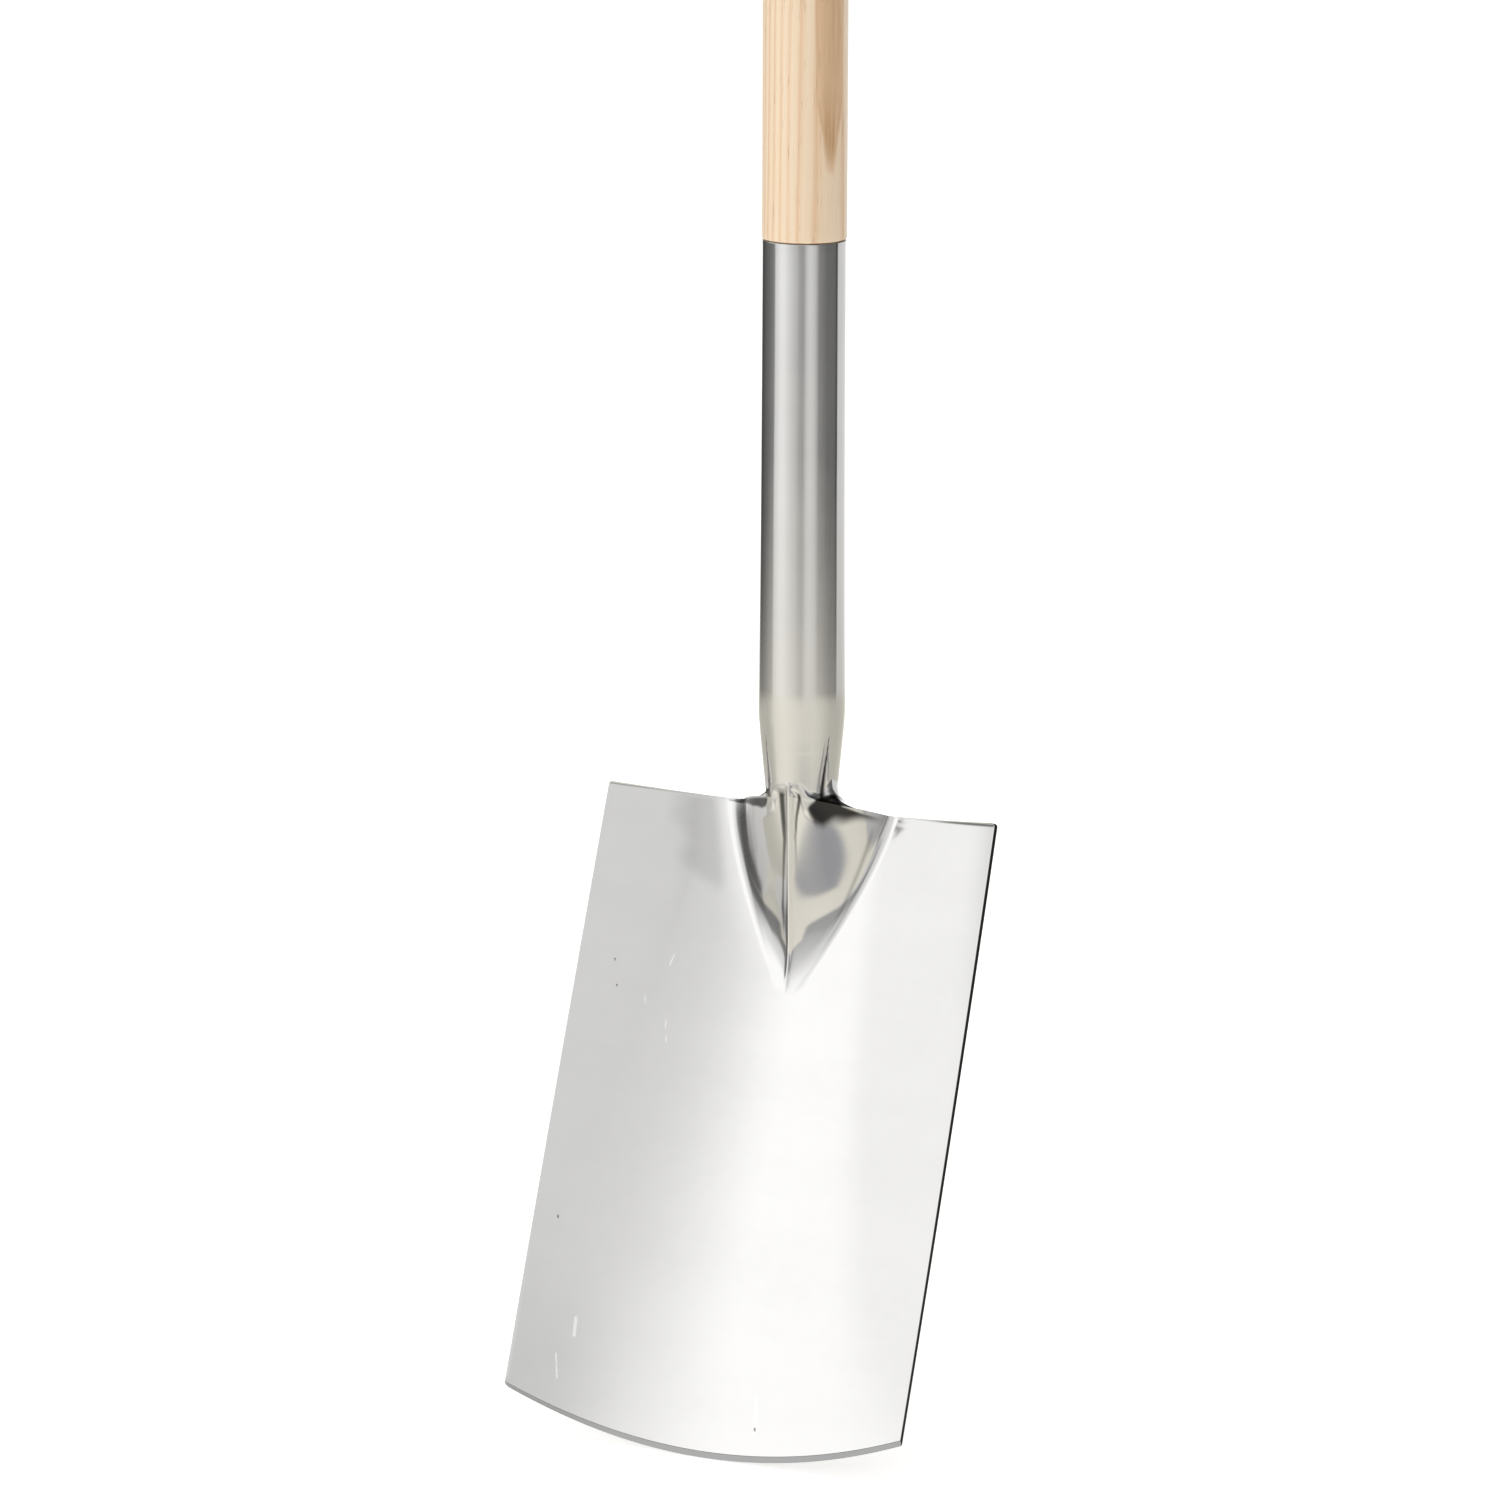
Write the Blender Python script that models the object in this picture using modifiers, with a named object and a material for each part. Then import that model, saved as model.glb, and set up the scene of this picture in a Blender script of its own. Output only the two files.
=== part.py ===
"""Garden digging spade: a pressed stainless steel head on an ash shaft with a split hand grip.

Row frame, metres: +Z runs up the shaft, the hollow (soil) face of the blade looks
towards -Y, +X is to the right of someone facing that side. The parts are laid out in
the shaft's own frame (mouth of the socket at z = 0, shaft axis at x = y = 0), and an
empty carries them all to the row frame, whose origin is the middle of the bottom of
the box around the spade.
"""
import math

import bmesh
import bpy
from mathutils import Matrix, Vector

for old in list(bpy.data.objects):
    bpy.data.objects.remove(old, do_unlink=True)

MM = 0.001
GAP = 0.3 * MM            # clearance left between neighbouring pieces

# ---- blade: a dished plate, cranked forward of the shaft -----------------------
BLADE_LENGTH = 269.5 * MM     # top edge to the ends of the cutting edge
EDGE_BULGE = 17.1 * MM        # how far the cutting edge bows down at its middle
WIDTH_TOP = 188.3 * MM
WIDTH_BOTTOM = 192.9 * MM
DISH_TOP = 20.7 * MM          # depth of the hollow across the top edge
DISH_BOTTOM = 8.15 * MM       # depth of the hollow across the cutting edge
LONG_BOW = 0.5 * MM           # lengthwise hollow of the plate
PLATE = 2.0 * MM              # sheet thickness
CRANK = math.radians(19.9)    # forward lean of the plate from the shaft
CHORD_Y = -1.6 * MM           # top edge chord in the shaft frame
CHORD_Z = -246.0 * MM
BEVEL_WIDTH = 2.6 * MM        # ground cutting bevel on the front
EDGE_THICKNESS = 0.6 * MM     # steel left at the cutting edge

# ---- frog: the hollow ridge pressed forward behind the socket ------------------
FROG_HEIGHT = 34.6 * MM       # ridge above the dish at the top edge
FROG_FALL = 0.487             # fall of the ridge per unit down the blade
FROG_FLANK = 0.97             # slope of the flanks at the top edge
FROG_FLANK_FALL = 7.5         # loss of flank slope per metre down the blade
FROG_RIDGE = 2.5 * MM         # rounding of the ridge line
FROG_FILLET = 2.8 * MM        # rounding where the flanks run out into the plate

# ---- closing plate over the hollow of the frog, on the back --------------------
COVER = 1.6 * MM
COVER_MARGIN = 5.0 * MM
COVER_LENGTH = 96.0 * MM

# ---- socket: a tube necked down and spread to the section of the frog ----------
SOCKET_R = 18.25 * MM         # outer radius at the mouth
SOCKET_BELLY_R = 18.85 * MM   # outer radius where the taper starts
TAPER_Z = -199.0 * MM
NECK_R = 15.6 * MM
NECK_Z = -229.0 * MM
WALL = 1.7 * MM
SPREAD = 37.0 * MM            # half width of the socket's spread end

# ---- shaft and hand grip --------------------------------------------------------
SHAFT_R = 18.3 * MM
SHAFT_END_Z = -190.0 * MM     # foot of the shaft inside the socket
THROAT_Z = 352.0 * MM         # where the round shaft ends between the arms
ARM_START_Z = 300.0 * MM
SPLIT_Z = 336.0 * MM          # where the arms start to part
SPREAD_Z = 428.0 * MM         # where they are fully apart
GRIP_Z = 482.0 * MM           # axis of the crossbar
ARM_HALF_W = 8.0 * MM         # half thickness of an arm, across
ARM_HALF_D = 16.5 * MM        # half depth of an arm, front to back
ARM_X0 = 8.6 * MM             # arm centreline at the split
ARM_X1 = 55.0 * MM            # arm centreline at the crossbar
GRIP_END_R = 13.6 * MM
GRIP_MID_R = 16.0 * MM

# ---- fasteners -------------------------------------------------------------------
GRIP_ROD_R = 3.0 * MM
THROAT_ROD_R = 2.5 * MM
THROAT_RIVET_Z = 322.0 * MM
SOCKET_RIVET_R = 2.2 * MM
SOCKET_RIVET_HEAD_R = 4.8 * MM
SOCKET_RIVET_LENGTH = 27.0 * MM
SOCKET_RIVETS_Z = {"socket_rivet_upper": -32.0 * MM, "socket_rivet_lower": -112.0 * MM}

DOWN = Vector((0.0, -math.sin(CRANK), -math.cos(CRANK)))     # down the blade
FRONT = Vector((0.0, -math.cos(CRANK), math.sin(CRANK)))     # out of the soil face
CHORD = Vector((0.0, CHORD_Y, CHORD_Z))


# ---------------------------------------------------------------- scene set-up
def collection(name):
    made = bpy.data.collections.new(name)
    bpy.context.scene.collection.children.link(made)
    return made


PARTS = collection("garden_spade")
CUTTERS = collection("cutters")


def material(name, colour, roughness, metallic):
    made = bpy.data.materials.new(name)
    made.use_nodes = True
    bsdf = made.node_tree.nodes["Principled BSDF"]
    bsdf.inputs["Base Color"].default_value = (*colour, 1.0)
    bsdf.inputs["Roughness"].default_value = roughness
    bsdf.inputs["Metallic"].default_value = metallic
    made.diffuse_color = (*colour, 1.0)
    return made


ORIGIN = bpy.data.objects.new("spade_origin", None)
PARTS.objects.link(ORIGIN)


def new_part(name, mesh, colour, roughness, metallic):
    obj = bpy.data.objects.new(name, mesh)
    PARTS.objects.link(obj)
    obj.parent = ORIGIN
    mesh.materials.append(material(name, colour, roughness, metallic))
    return obj


def new_cutter(name, mesh):
    obj = bpy.data.objects.new(name, mesh)
    CUTTERS.objects.link(obj)
    obj.parent = ORIGIN
    obj.hide_render = True
    obj.display_type = "WIRE"
    return obj


def boolean(obj, other, operation="DIFFERENCE"):
    mod = obj.modifiers.new(operation.lower() + "_" + other.name, "BOOLEAN")
    mod.operation = operation
    mod.object = other
    mod.solver = "EXACT"


def smooth(obj, angle=40.0):
    obj.data.shade_smooth()
    obj.data.set_sharp_from_angle(angle=math.radians(angle))


STEEL = ((0.78, 0.78, 0.77), 0.12, 1.0)
ASH = ((0.82, 0.66, 0.45), 0.45, 0.0)


# ---------------------------------------------------------------- mesh helpers
def loft(name, rings, close_start=True, close_end=True, centres=(None, None)):
    """A closed skin through rings of equal count, with fans over both ends."""
    bm = bmesh.new()
    rows = [[bm.verts.new(p) for p in ring] for ring in rings]
    count = len(rows[0])
    for upper, lower in zip(rows, rows[1:]):
        for i in range(count):
            j = (i + 1) % count
            bm.faces.new((upper[i], upper[j], lower[j], lower[i]))
    for row, wanted, centre in ((rows[0], close_start, centres[0]), (rows[-1], close_end, centres[1])):
        if not wanted:
            continue
        hub = bm.verts.new(centre if centre is not None else sum((v.co for v in row), Vector()) / count)
        for i in range(count):
            bm.faces.new((row[i], row[(i + 1) % count], hub))
    bmesh.ops.recalc_face_normals(bm, faces=bm.faces)
    mesh = bpy.data.meshes.new(name)
    bm.to_mesh(mesh)
    bm.free()
    return mesh


def sheet(name, rows):
    """An open surface through a grid of points; the rows run down, the points across."""
    bm = bmesh.new()
    grid = [[bm.verts.new(p) for p in row] for row in rows]
    for upper, lower in zip(grid, grid[1:]):
        for i in range(len(upper) - 1):
            bm.faces.new((upper[i], lower[i], lower[i + 1], upper[i + 1]))
    mesh = bpy.data.meshes.new(name)
    bm.to_mesh(mesh)
    bm.free()
    return mesh


def profile_mesh(name, points):
    """An open profile in the XZ plane, listed down its outer side, for a Screw."""
    bm = bmesh.new()
    verts = [bm.verts.new((r, 0.0, z)) for r, z in points]
    for a, b in zip(verts, verts[1:]):
        bm.edges.new((a, b))
    mesh = bpy.data.meshes.new(name)
    bm.to_mesh(mesh)
    bm.free()
    return mesh


def turned(obj, steps):
    mod = obj.modifiers.new("turn", "SCREW")
    mod.axis = "Z"
    mod.angle = math.tau
    mod.screw_offset = 0.0
    mod.steps = steps
    mod.render_steps = steps
    mod.use_merge_vertices = True
    mod.merge_threshold = 0.00001
    mod.use_smooth_shade = True


def cylinder(name, radius, length, axis, centre, segments=24):
    """A cutter cylinder along X, Y or Z."""
    bm = bmesh.new()
    turn = {"X": Matrix.Rotation(math.pi / 2, 4, "Y"), "Y": Matrix.Rotation(math.pi / 2, 4, "X"), "Z": Matrix()}[axis]
    bmesh.ops.create_cone(bm, cap_ends=True, segments=segments, radius1=radius, radius2=radius, depth=length,
                          matrix=turn)
    mesh = bpy.data.meshes.new(name)
    bm.to_mesh(mesh)
    bm.free()
    obj = new_cutter(name, mesh)
    obj.location = centre
    return obj


def spaced(*runs):
    """Values through (end, count) runs starting from the first number."""
    out = [runs[0]]
    for end, count in runs[1:]:
        start = out[-1]
        out += [start + (end - start) * (k + 1) / count for k in range(count)]
    return out


# ---------------------------------------------------------------- blade surface
def smooth_positive(x, width):
    return 0.5 * (x + math.sqrt(x * x + width * width))


def dish(t, s):
    """Depth of the front face below the chord between its side edges."""
    return (DISH_TOP * (1 - s) + DISH_BOTTOM * s) * (1 - t * t) + LONG_BOW * 4 * s * (1 - s)


def frog(u, v):
    """Height of the pressed ridge above the dish."""
    flank = max(FROG_FLANK - FROG_FLANK_FALL * v, 0.2)
    run = math.sqrt(u * u + FROG_RIDGE ** 2) - FROG_RIDGE
    return smooth_positive(FROG_HEIGHT - FROG_FALL * v - flank * run, FROG_FILLET) - 0.5 * (
        math.sqrt((FROG_HEIGHT + 0.1) ** 2 + FROG_FILLET ** 2) - (FROG_HEIGHT + 0.1))


def half_width(s):
    return 0.5 * (WIDTH_TOP * (1 - s) + WIDTH_BOTTOM * s)


def plate_uvh(t, s):
    """Across, down and out coordinates of the front face."""
    u = t * half_width(s)
    v = s * (BLADE_LENGTH + EDGE_BULGE * (1 - t * t))
    return u, v, frog(u, v) - dish(t, s)


def from_blade(u, v, h):
    return CHORD + Vector((u, 0.0, 0.0)) + DOWN * v + FRONT * h


# ---------------------------------------------------------------- blade
half_u = [0.0] + [0.042 * k for k in range(1, 11)] + [0.42 + 0.0725 * k for k in range(1, 9)]
columns = [-t for t in reversed(half_u[1:])] + half_u
rows_s = spaced(-4.0 / 280, (0.0, 1), (88.0 / 280, 15), (0.97, 9), (1 - BEVEL_WIDTH / (BLADE_LENGTH + EDGE_BULGE), 1), (1.0, 1))
grid = []
for s in rows_s:
    row = []
    for t in columns:
        u, v, h = plate_uvh(t, s)
        if s == 1.0:
            h -= PLATE - EDGE_THICKNESS
        row.append(from_blade(u, v, h))
    grid.append(row)
blade = new_part("blade", sheet("blade", grid), *STEEL)
group = blade.vertex_groups.new(name="full_thickness")
width_count = len(columns)
group.add(range(width_count * (len(rows_s) - 1)), 1.0, "REPLACE")
solid = blade.modifiers.new("plate", "SOLIDIFY")
solid.thickness = PLATE
solid.offset = -1.0
solid.use_even_offset = False
solid.vertex_group = "full_thickness"
solid.thickness_vertex_group = EDGE_THICKNESS / PLATE

trim = bmesh.new()
bmesh.ops.create_cube(trim, size=1.0, matrix=Matrix.Diagonal((0.3, 0.12, 0.04, 1.0)))
trim_mesh = bpy.data.meshes.new("top_trim")
trim.to_mesh(trim_mesh)
trim.free()
top_trim = new_cutter("top_trim", trim_mesh)
top_trim.rotation_euler = (-CRANK, 0.0, 0.0)
top_trim.location = CHORD - DOWN * 0.02
boolean(blade, top_trim)
smooth(blade, 35.0)

# ---------------------------------------------------------------- closing plate
def cover_half_width(v):
    """Half width of the closing plate: the frog's own half width and a margin."""
    fall = max(FROG_HEIGHT - FROG_FALL * v, 0.0)
    flank = max(FROG_FLANK - FROG_FLANK_FALL * v, 0.2)
    base = fall / flank + COVER_MARGIN
    nose = max(1.0 - max(v / COVER_LENGTH, 0.0) ** 3.0, 0.0)
    return max(base * math.sqrt(nose), 2.2 * MM)


cover_rows = []
for k in range(15):
    f = k / 14
    v = 0.9 * MM + (COVER_LENGTH - 0.9 * MM) * (1 - (1 - f) ** 1.35)
    width = cover_half_width(v)
    row = []
    for j in range(13):
        u = width * (j / 6 - 1)
        s = v / (BLADE_LENGTH + EDGE_BULGE)
        t = u / half_width(s)
        crown = 1.6 * MM * (1 - (u / width) ** 2) * (1 - v / COVER_LENGTH)
        # The cover lies behind the sheet's back face, and swells a little over the hollow.
        row.append(from_blade(u, v, -dish(t, s) - frog(width + 12 * MM, v) - PLATE - GAP - 0.35 * MM - crown))
    cover_rows.append(row)
back_plate = new_part("back_plate", sheet("back_plate", cover_rows), *STEEL)
solid = back_plate.modifiers.new("sheet", "SOLIDIFY")
solid.thickness = COVER
solid.offset = -1.0
solid.use_even_offset = True
smooth(back_plate)

# ---------------------------------------------------------------- socket
AROUND = 48


def circle(radius, z, y=0.0):
    return [Vector((radius * math.cos(a), y - radius * math.sin(a), z))
            for a in (math.tau * i / AROUND for i in range(AROUND))]


def outer_radius(z):
    """Outer radius of the socket: a slight belly, then an eased taper to the neck."""
    if z >= TAPER_Z:
        return SOCKET_R + (SOCKET_BELLY_R - SOCKET_R) * (z / TAPER_Z) ** 1.5
    f = min((TAPER_Z - z) / (TAPER_Z - NECK_Z), 1.0)
    return SOCKET_BELLY_R + (NECK_R - SOCKET_BELLY_R) * (f * f * (3 - 2 * f) * 0.55 + f * 0.45)


def spread_point(angle):
    """A point of the socket's spread end, which stands on the top edge of the frog."""
    u = SPREAD * math.cos(angle)
    t = u / half_width(0.0)
    front = frog(u, 0.0) - dish(t, 0.0)
    tip = 1 - abs(math.cos(angle)) ** 6
    back = -dish(t, 0.0) - PLATE - (GAP + COVER) * tip
    h = front if math.sin(angle) > 0.02 else back if math.sin(angle) < -0.02 else 0.5 * (front + back)
    return from_blade(u, -GAP, h)


inner_zs = [-232.0 * MM, -229.0 * MM, -221.0 * MM, -213.0 * MM, -206.0 * MM, TAPER_Z, -185.0 * MM, -120.0 * MM,
            -60.0 * MM, 0.0]
rings = []
for z in inner_zs:
    rings.append(circle(outer_radius(max(z, NECK_Z)) - WALL - (3.0 * MM if z == inner_zs[0] else 0.0), z))
outer_zs = [0.0, -60.0 * MM, -120.0 * MM, -170.0 * MM, -188.0 * MM, TAPER_Z, -203.0 * MM, -208.0 * MM, -213.0 * MM,
            -218.0 * MM, -223.0 * MM, NECK_Z]
for z in outer_zs:
    rings.append(circle(outer_radius(z), z))
STEPS = 9
for k in range(1, STEPS + 1):
    f = k / STEPS
    flare = f ** 3.2
    ring = []
    for i in range(AROUND):
        a = math.tau * i / AROUND
        start = Vector((NECK_R * math.cos(a), -NECK_R * math.sin(a), NECK_Z))
        end = spread_point(a)
        # The front of the tube runs straight into the ridge; its sides flare late.
        side = abs(math.cos(a))
        mix = flare * side + f * (1 - side)
        ring.append(Vector((start.x + (end.x - start.x) * mix, start.y + (end.y - start.y) * mix,
                            start.z + (end.z - start.z) * f)))
    rings.append(ring)
socket = new_part("socket", loft("socket", rings, centres=(Vector((0, 0, -233.0 * MM)), from_blade(0.0, -GAP, -9.0 * MM))),
                  *STEEL)
smooth(socket, 35.0)

# ---------------------------------------------------------------- shaft
spigot_r = SOCKET_R - WALL - GAP
shaft = new_part("shaft", profile_mesh("shaft", [
    (0.0, THROAT_Z + 1.0 * MM), (7.0 * MM, THROAT_Z), (12.5 * MM, THROAT_Z - 4 * MM), (16.4 * MM, THROAT_Z - 12 * MM),
    (SHAFT_R, THROAT_Z - 26 * MM), (SHAFT_R, 200.0 * MM), (SHAFT_R, 100.0 * MM), (SHAFT_R, 1.2 * MM),
    (SHAFT_R - 0.7 * MM, GAP), (spigot_r, GAP), (spigot_r, -90.0 * MM), (spigot_r, SHAFT_END_Z + 14 * MM),
    (spigot_r - 1.4 * MM, SHAFT_END_Z + 3 * MM), (spigot_r - 4.0 * MM, SHAFT_END_Z), (0.0, SHAFT_END_Z)]), *ASH)
turned(shaft, 40)


def arm_x(z):
    """Distance of an arm's centreline from the shaft axis."""
    f = min(max((z - SPLIT_Z) / (SPREAD_Z - SPLIT_Z), 0.0), 1.0)
    return ARM_X0 + (ARM_X1 - ARM_X0) * f ** 3 * (f * (6 * f - 15) + 10)


def arm_mesh(side):
    rings = []
    top = GRIP_Z + ARM_HALF_D
    zs = [ARM_START_Z, 318 * MM, SPLIT_Z] + [SPLIT_Z + (SPREAD_Z - SPLIT_Z) * k / 14 for k in range(1, 15)]
    zs += [445 * MM, 460 * MM, GRIP_Z]
    zs += [GRIP_Z + ARM_HALF_D * math.sin(math.radians(a)) for a in (15, 30, 45, 60, 74, 84)]
    for z in zs:
        slope = (arm_x(z + 0.5 * MM) - arm_x(z - 0.5 * MM)) / MM
        lean = math.atan(slope)
        blend = min(max((z - ARM_START_Z) / (SPREAD_Z - ARM_START_Z), 0.0), 1.0)
        half_w = ARM_HALF_W * (0.78 + 0.22 * min(blend * 2.6, 1.0))
        half_d = 15.2 * MM + (ARM_HALF_D - 15.2 * MM) * blend
        if z > GRIP_Z:
            half_d = math.sqrt(max(top - z, 0.0) * (top + z - 2 * GRIP_Z))
            half_w = ARM_HALF_W * (1 - 0.35 * ((z - GRIP_Z) / ARM_HALF_D) ** 4)
        ring = []
        for i in range(24):
            a = math.tau * i / 24
            power = 2.0 / 4.0
            x = half_w * math.copysign(abs(math.cos(a)) ** power, math.cos(a))
            y = half_d * math.copysign(abs(math.sin(a)) ** power, math.sin(a))
            ring.append(Vector((side * arm_x(z) + x * math.cos(lean), y, z - side * x * math.sin(lean))))
        rings.append(ring)
    return loft("arm", rings)


for side, label in ((-1, "left"), (1, "right")):
    boolean(shaft, new_cutter("arm_" + label, arm_mesh(side)), "UNION")
boolean(shaft, cylinder("grip_bore", GRIP_ROD_R + GAP, 0.2, "X", (0, 0, GRIP_Z)))
boolean(shaft, cylinder("throat_bore", THROAT_ROD_R + GAP, 0.1, "X", (0, 0, THROAT_RIVET_Z)))
for name, z in SOCKET_RIVETS_Z.items():
    hole = cylinder(name + "_bore", SOCKET_RIVET_R + GAP, SOCKET_RIVET_LENGTH + 8 * MM, "Y",
                    (0, SOCKET_R + 3 * MM - 0.5 * SOCKET_RIVET_LENGTH, z))
    boolean(shaft, hole)
    boolean(socket, hole)

# ---------------------------------------------------------------- crossbar
grip_half = ARM_X1 - ARM_HALF_W - GAP
bar = [(GRIP_END_R + (GRIP_MID_R - GRIP_END_R) * (1 - (2 * k / 12 - 1) ** 2), grip_half * (1 - 2 * k / 12)) for k in range(13)]
bore_r = GRIP_ROD_R + GAP
bar = [(bore_r, grip_half), (GRIP_END_R - 1.0 * MM, grip_half), (bar[0][0], grip_half - 1.0 * MM)] + bar[1:-1] + [
    (bar[-1][0], -grip_half + 1.0 * MM), (GRIP_END_R - 1.0 * MM, -grip_half), (bore_r, -grip_half), (bore_r, grip_half)]
grip_bar = new_part("grip_bar", profile_mesh("grip_bar", bar), *ASH)
turned(grip_bar, 32)
grip_bar.rotation_euler = (0.0, math.pi / 2, 0.0)
grip_bar.location = (0.0, 0.0, GRIP_Z)


# ---------------------------------------------------------------- fasteners
def dome(radius, height, face, steps=5):
    """Profile of a domed head whose flat side is at height face, apex first."""
    points = []
    for k in range(steps + 1):
        a = math.pi / 2 * (1 - k / steps)
        points.append((radius * math.cos(a) if k else 0.0, face + height * math.sin(a)))
    return points


def mirrored(points):
    return points + [(r, -z) for r, z in reversed(points)]


def across(name, points, z, steps=20):
    obj = new_part(name, profile_mesh(name, points), *STEEL)
    turned(obj, steps)
    obj.rotation_euler = (0.0, math.pi / 2, 0.0)
    obj.location = (0.0, 0.0, z)
    return obj


WASHER = 1.2 * MM
grip_face = ARM_X1 + ARM_HALF_W + GAP
head_at = grip_face + WASHER + GAP
across("grip_rivet", mirrored(dome(5.6 * MM, 2.0 * MM, head_at) + [(GRIP_ROD_R, head_at)]), GRIP_Z)
throat_face = SHAFT_R + GAP
throat_head = throat_face + 1.0 * MM + GAP
across("throat_rivet", mirrored(dome(4.6 * MM, 1.7 * MM, throat_head) + [(THROAT_ROD_R, throat_head)]), THROAT_RIVET_Z)


def washer(name, inner, outer, thickness, x, z):
    points = [(inner, thickness / 2), (outer - 0.3 * MM, thickness / 2), (outer, thickness / 2 - 0.3 * MM),
              (outer, -thickness / 2), (inner, -thickness / 2), (inner, thickness / 2)]
    obj = new_part(name, profile_mesh(name, points), *STEEL)
    turned(obj, 24)
    obj.rotation_euler = (0.0, math.copysign(math.pi / 2, x), 0.0)
    obj.location = (x, 0.0, z)
    return obj


for side, label in ((-1, "left"), (1, "right")):
    washer("grip_washer_" + label, GRIP_ROD_R + GAP, 8.2 * MM, WASHER, side * (grip_face + WASHER / 2), GRIP_Z)
    washer("throat_washer_" + label, THROAT_ROD_R + GAP, 6.4 * MM, 1.0 * MM, side * (throat_face + 0.5 * MM),
           THROAT_RIVET_Z)

for name, z in SOCKET_RIVETS_Z.items():
    face = outer_radius(z) + GAP
    points = dome(SOCKET_RIVET_HEAD_R, 2.2 * MM, face) + [
        (SOCKET_RIVET_R, face), (SOCKET_RIVET_R, face - SOCKET_RIVET_LENGTH + 3 * MM), (0.0, face - SOCKET_RIVET_LENGTH)]
    rivet = new_part(name, profile_mesh(name, points), *STEEL)
    turned(rivet, 20)
    # Driven in from the back: the head looks towards +Y.
    rivet.rotation_euler = (-math.pi / 2, 0.0, 0.0)
    rivet.location = (0.0, 0.0, z)

# ---------------------------------------------------------------- row frame
# The origin is the middle of the bottom of the box around every part.
bpy.context.view_layer.update()
depsgraph = bpy.context.evaluated_depsgraph_get()
corners = []
for obj in PARTS.objects:
    if obj.type != "MESH":
        continue
    solid_obj = obj.evaluated_get(depsgraph)
    shape = solid_obj.to_mesh()
    corners += [obj.matrix_world @ v.co for v in shape.vertices]
    solid_obj.to_mesh_clear()
ORIGIN.location = (0.0, -0.5 * (min(c.y for c in corners) + max(c.y for c in corners)), -min(c.z for c in corners))
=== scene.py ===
import math

import bmesh
import bpy
import numpy as np
from mathutils import Matrix, Vector, noise


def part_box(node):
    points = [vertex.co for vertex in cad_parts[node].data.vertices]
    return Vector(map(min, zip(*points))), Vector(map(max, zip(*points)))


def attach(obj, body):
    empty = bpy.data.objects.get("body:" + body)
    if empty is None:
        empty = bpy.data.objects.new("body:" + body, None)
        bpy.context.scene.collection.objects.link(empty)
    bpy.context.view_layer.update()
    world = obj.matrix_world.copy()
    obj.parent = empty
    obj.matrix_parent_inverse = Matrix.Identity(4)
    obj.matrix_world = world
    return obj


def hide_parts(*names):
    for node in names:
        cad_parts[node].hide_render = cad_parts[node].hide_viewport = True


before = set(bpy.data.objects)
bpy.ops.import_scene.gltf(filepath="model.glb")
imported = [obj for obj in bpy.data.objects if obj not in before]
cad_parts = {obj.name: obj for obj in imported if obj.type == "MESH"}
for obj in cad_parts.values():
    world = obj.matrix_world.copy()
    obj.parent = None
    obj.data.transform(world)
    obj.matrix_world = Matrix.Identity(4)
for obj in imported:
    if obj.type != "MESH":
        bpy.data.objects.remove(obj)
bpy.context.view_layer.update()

MM = 0.001
scene = bpy.context.scene
scene.view_settings.view_transform = "Standard"
scene.view_settings.look = "None"

# ------------------------------------------------------------------ frame facts
# The shaft frame (mouth of the socket at z = 0, shaft axis at x = y = 0) in the row frame.
socket_lo, socket_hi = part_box("socket")
throat_lo, throat_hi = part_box("throat_rivet")
AXIS_Y = 0.5 * (throat_lo.y + throat_hi.y)
MOUTH_Z = socket_hi.z
ORIGIN = np.array([0.0, AXIS_Y, MOUTH_Z])

BLADE_LENGTH, EDGE_BULGE = 269.5 * MM, 17.1 * MM
WIDTH_TOP, WIDTH_BOTTOM = 188.3 * MM, 192.9 * MM
DISH_TOP, DISH_BOTTOM, LONG_BOW = 20.7 * MM, 8.15 * MM, 0.5 * MM
PLATE = 2.0 * MM
CRANK = math.radians(19.9)
CHORD = np.array([0.0, -1.6 * MM, -246.0 * MM])
DOWN = np.array([0.0, -math.sin(CRANK), -math.cos(CRANK)])
FRONT = np.array([0.0, -math.cos(CRANK), math.sin(CRANK)])
ACROSS = np.array([1.0, 0.0, 0.0])

SOCKET_R, SOCKET_BELLY_R = 18.25 * MM, 18.85 * MM
TAPER_Z, NECK_R, NECK_Z, WALL = -199.0 * MM, 15.6 * MM, -229.0 * MM, 1.7 * MM
SPREAD = 37.0 * MM
SHAFT_R = 18.3 * MM
GRIP_Z = 482.0 * MM
SPLIT_Z, SPREAD_Z = 336.0 * MM, 428.0 * MM
ARM_X0, ARM_X1, ARM_HALF_W, ARM_HALF_D = 8.6 * MM, 55.0 * MM, 8.0 * MM, 16.5 * MM
THROAT_RIVET_Z = 322.0 * MM

# ------------------------------------------------------------------ camera
cam_data = bpy.data.cameras.new("camera")
cam_data.sensor_width = 36.0
cam_data.sensor_fit = "HORIZONTAL"
cam_data.lens = 8171.2 * 36.0 / 1500.0
cam_data.clip_end = 100.0
camera = bpy.data.objects.new("camera", cam_data)
scene.collection.objects.link(camera)
forward = Vector((-0.45391283, 0.86837774, -0.19970788)).normalized()
up = Vector((-0.09600911, 0.17515831, 0.97984785))
right = forward.cross(up).normalized()
up = right.cross(forward).normalized()
place = Vector((1.58897, -3.05357, 1.00307))
camera.matrix_world = Matrix.Translation(place) @ Matrix((right, up, -forward)).transposed().to_4x4()
scene.camera = camera


# ------------------------------------------------------------------ mesh helpers
def link(name, mesh):
    obj = bpy.data.objects.new(name, mesh)
    scene.collection.objects.link(obj)
    return obj


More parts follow.
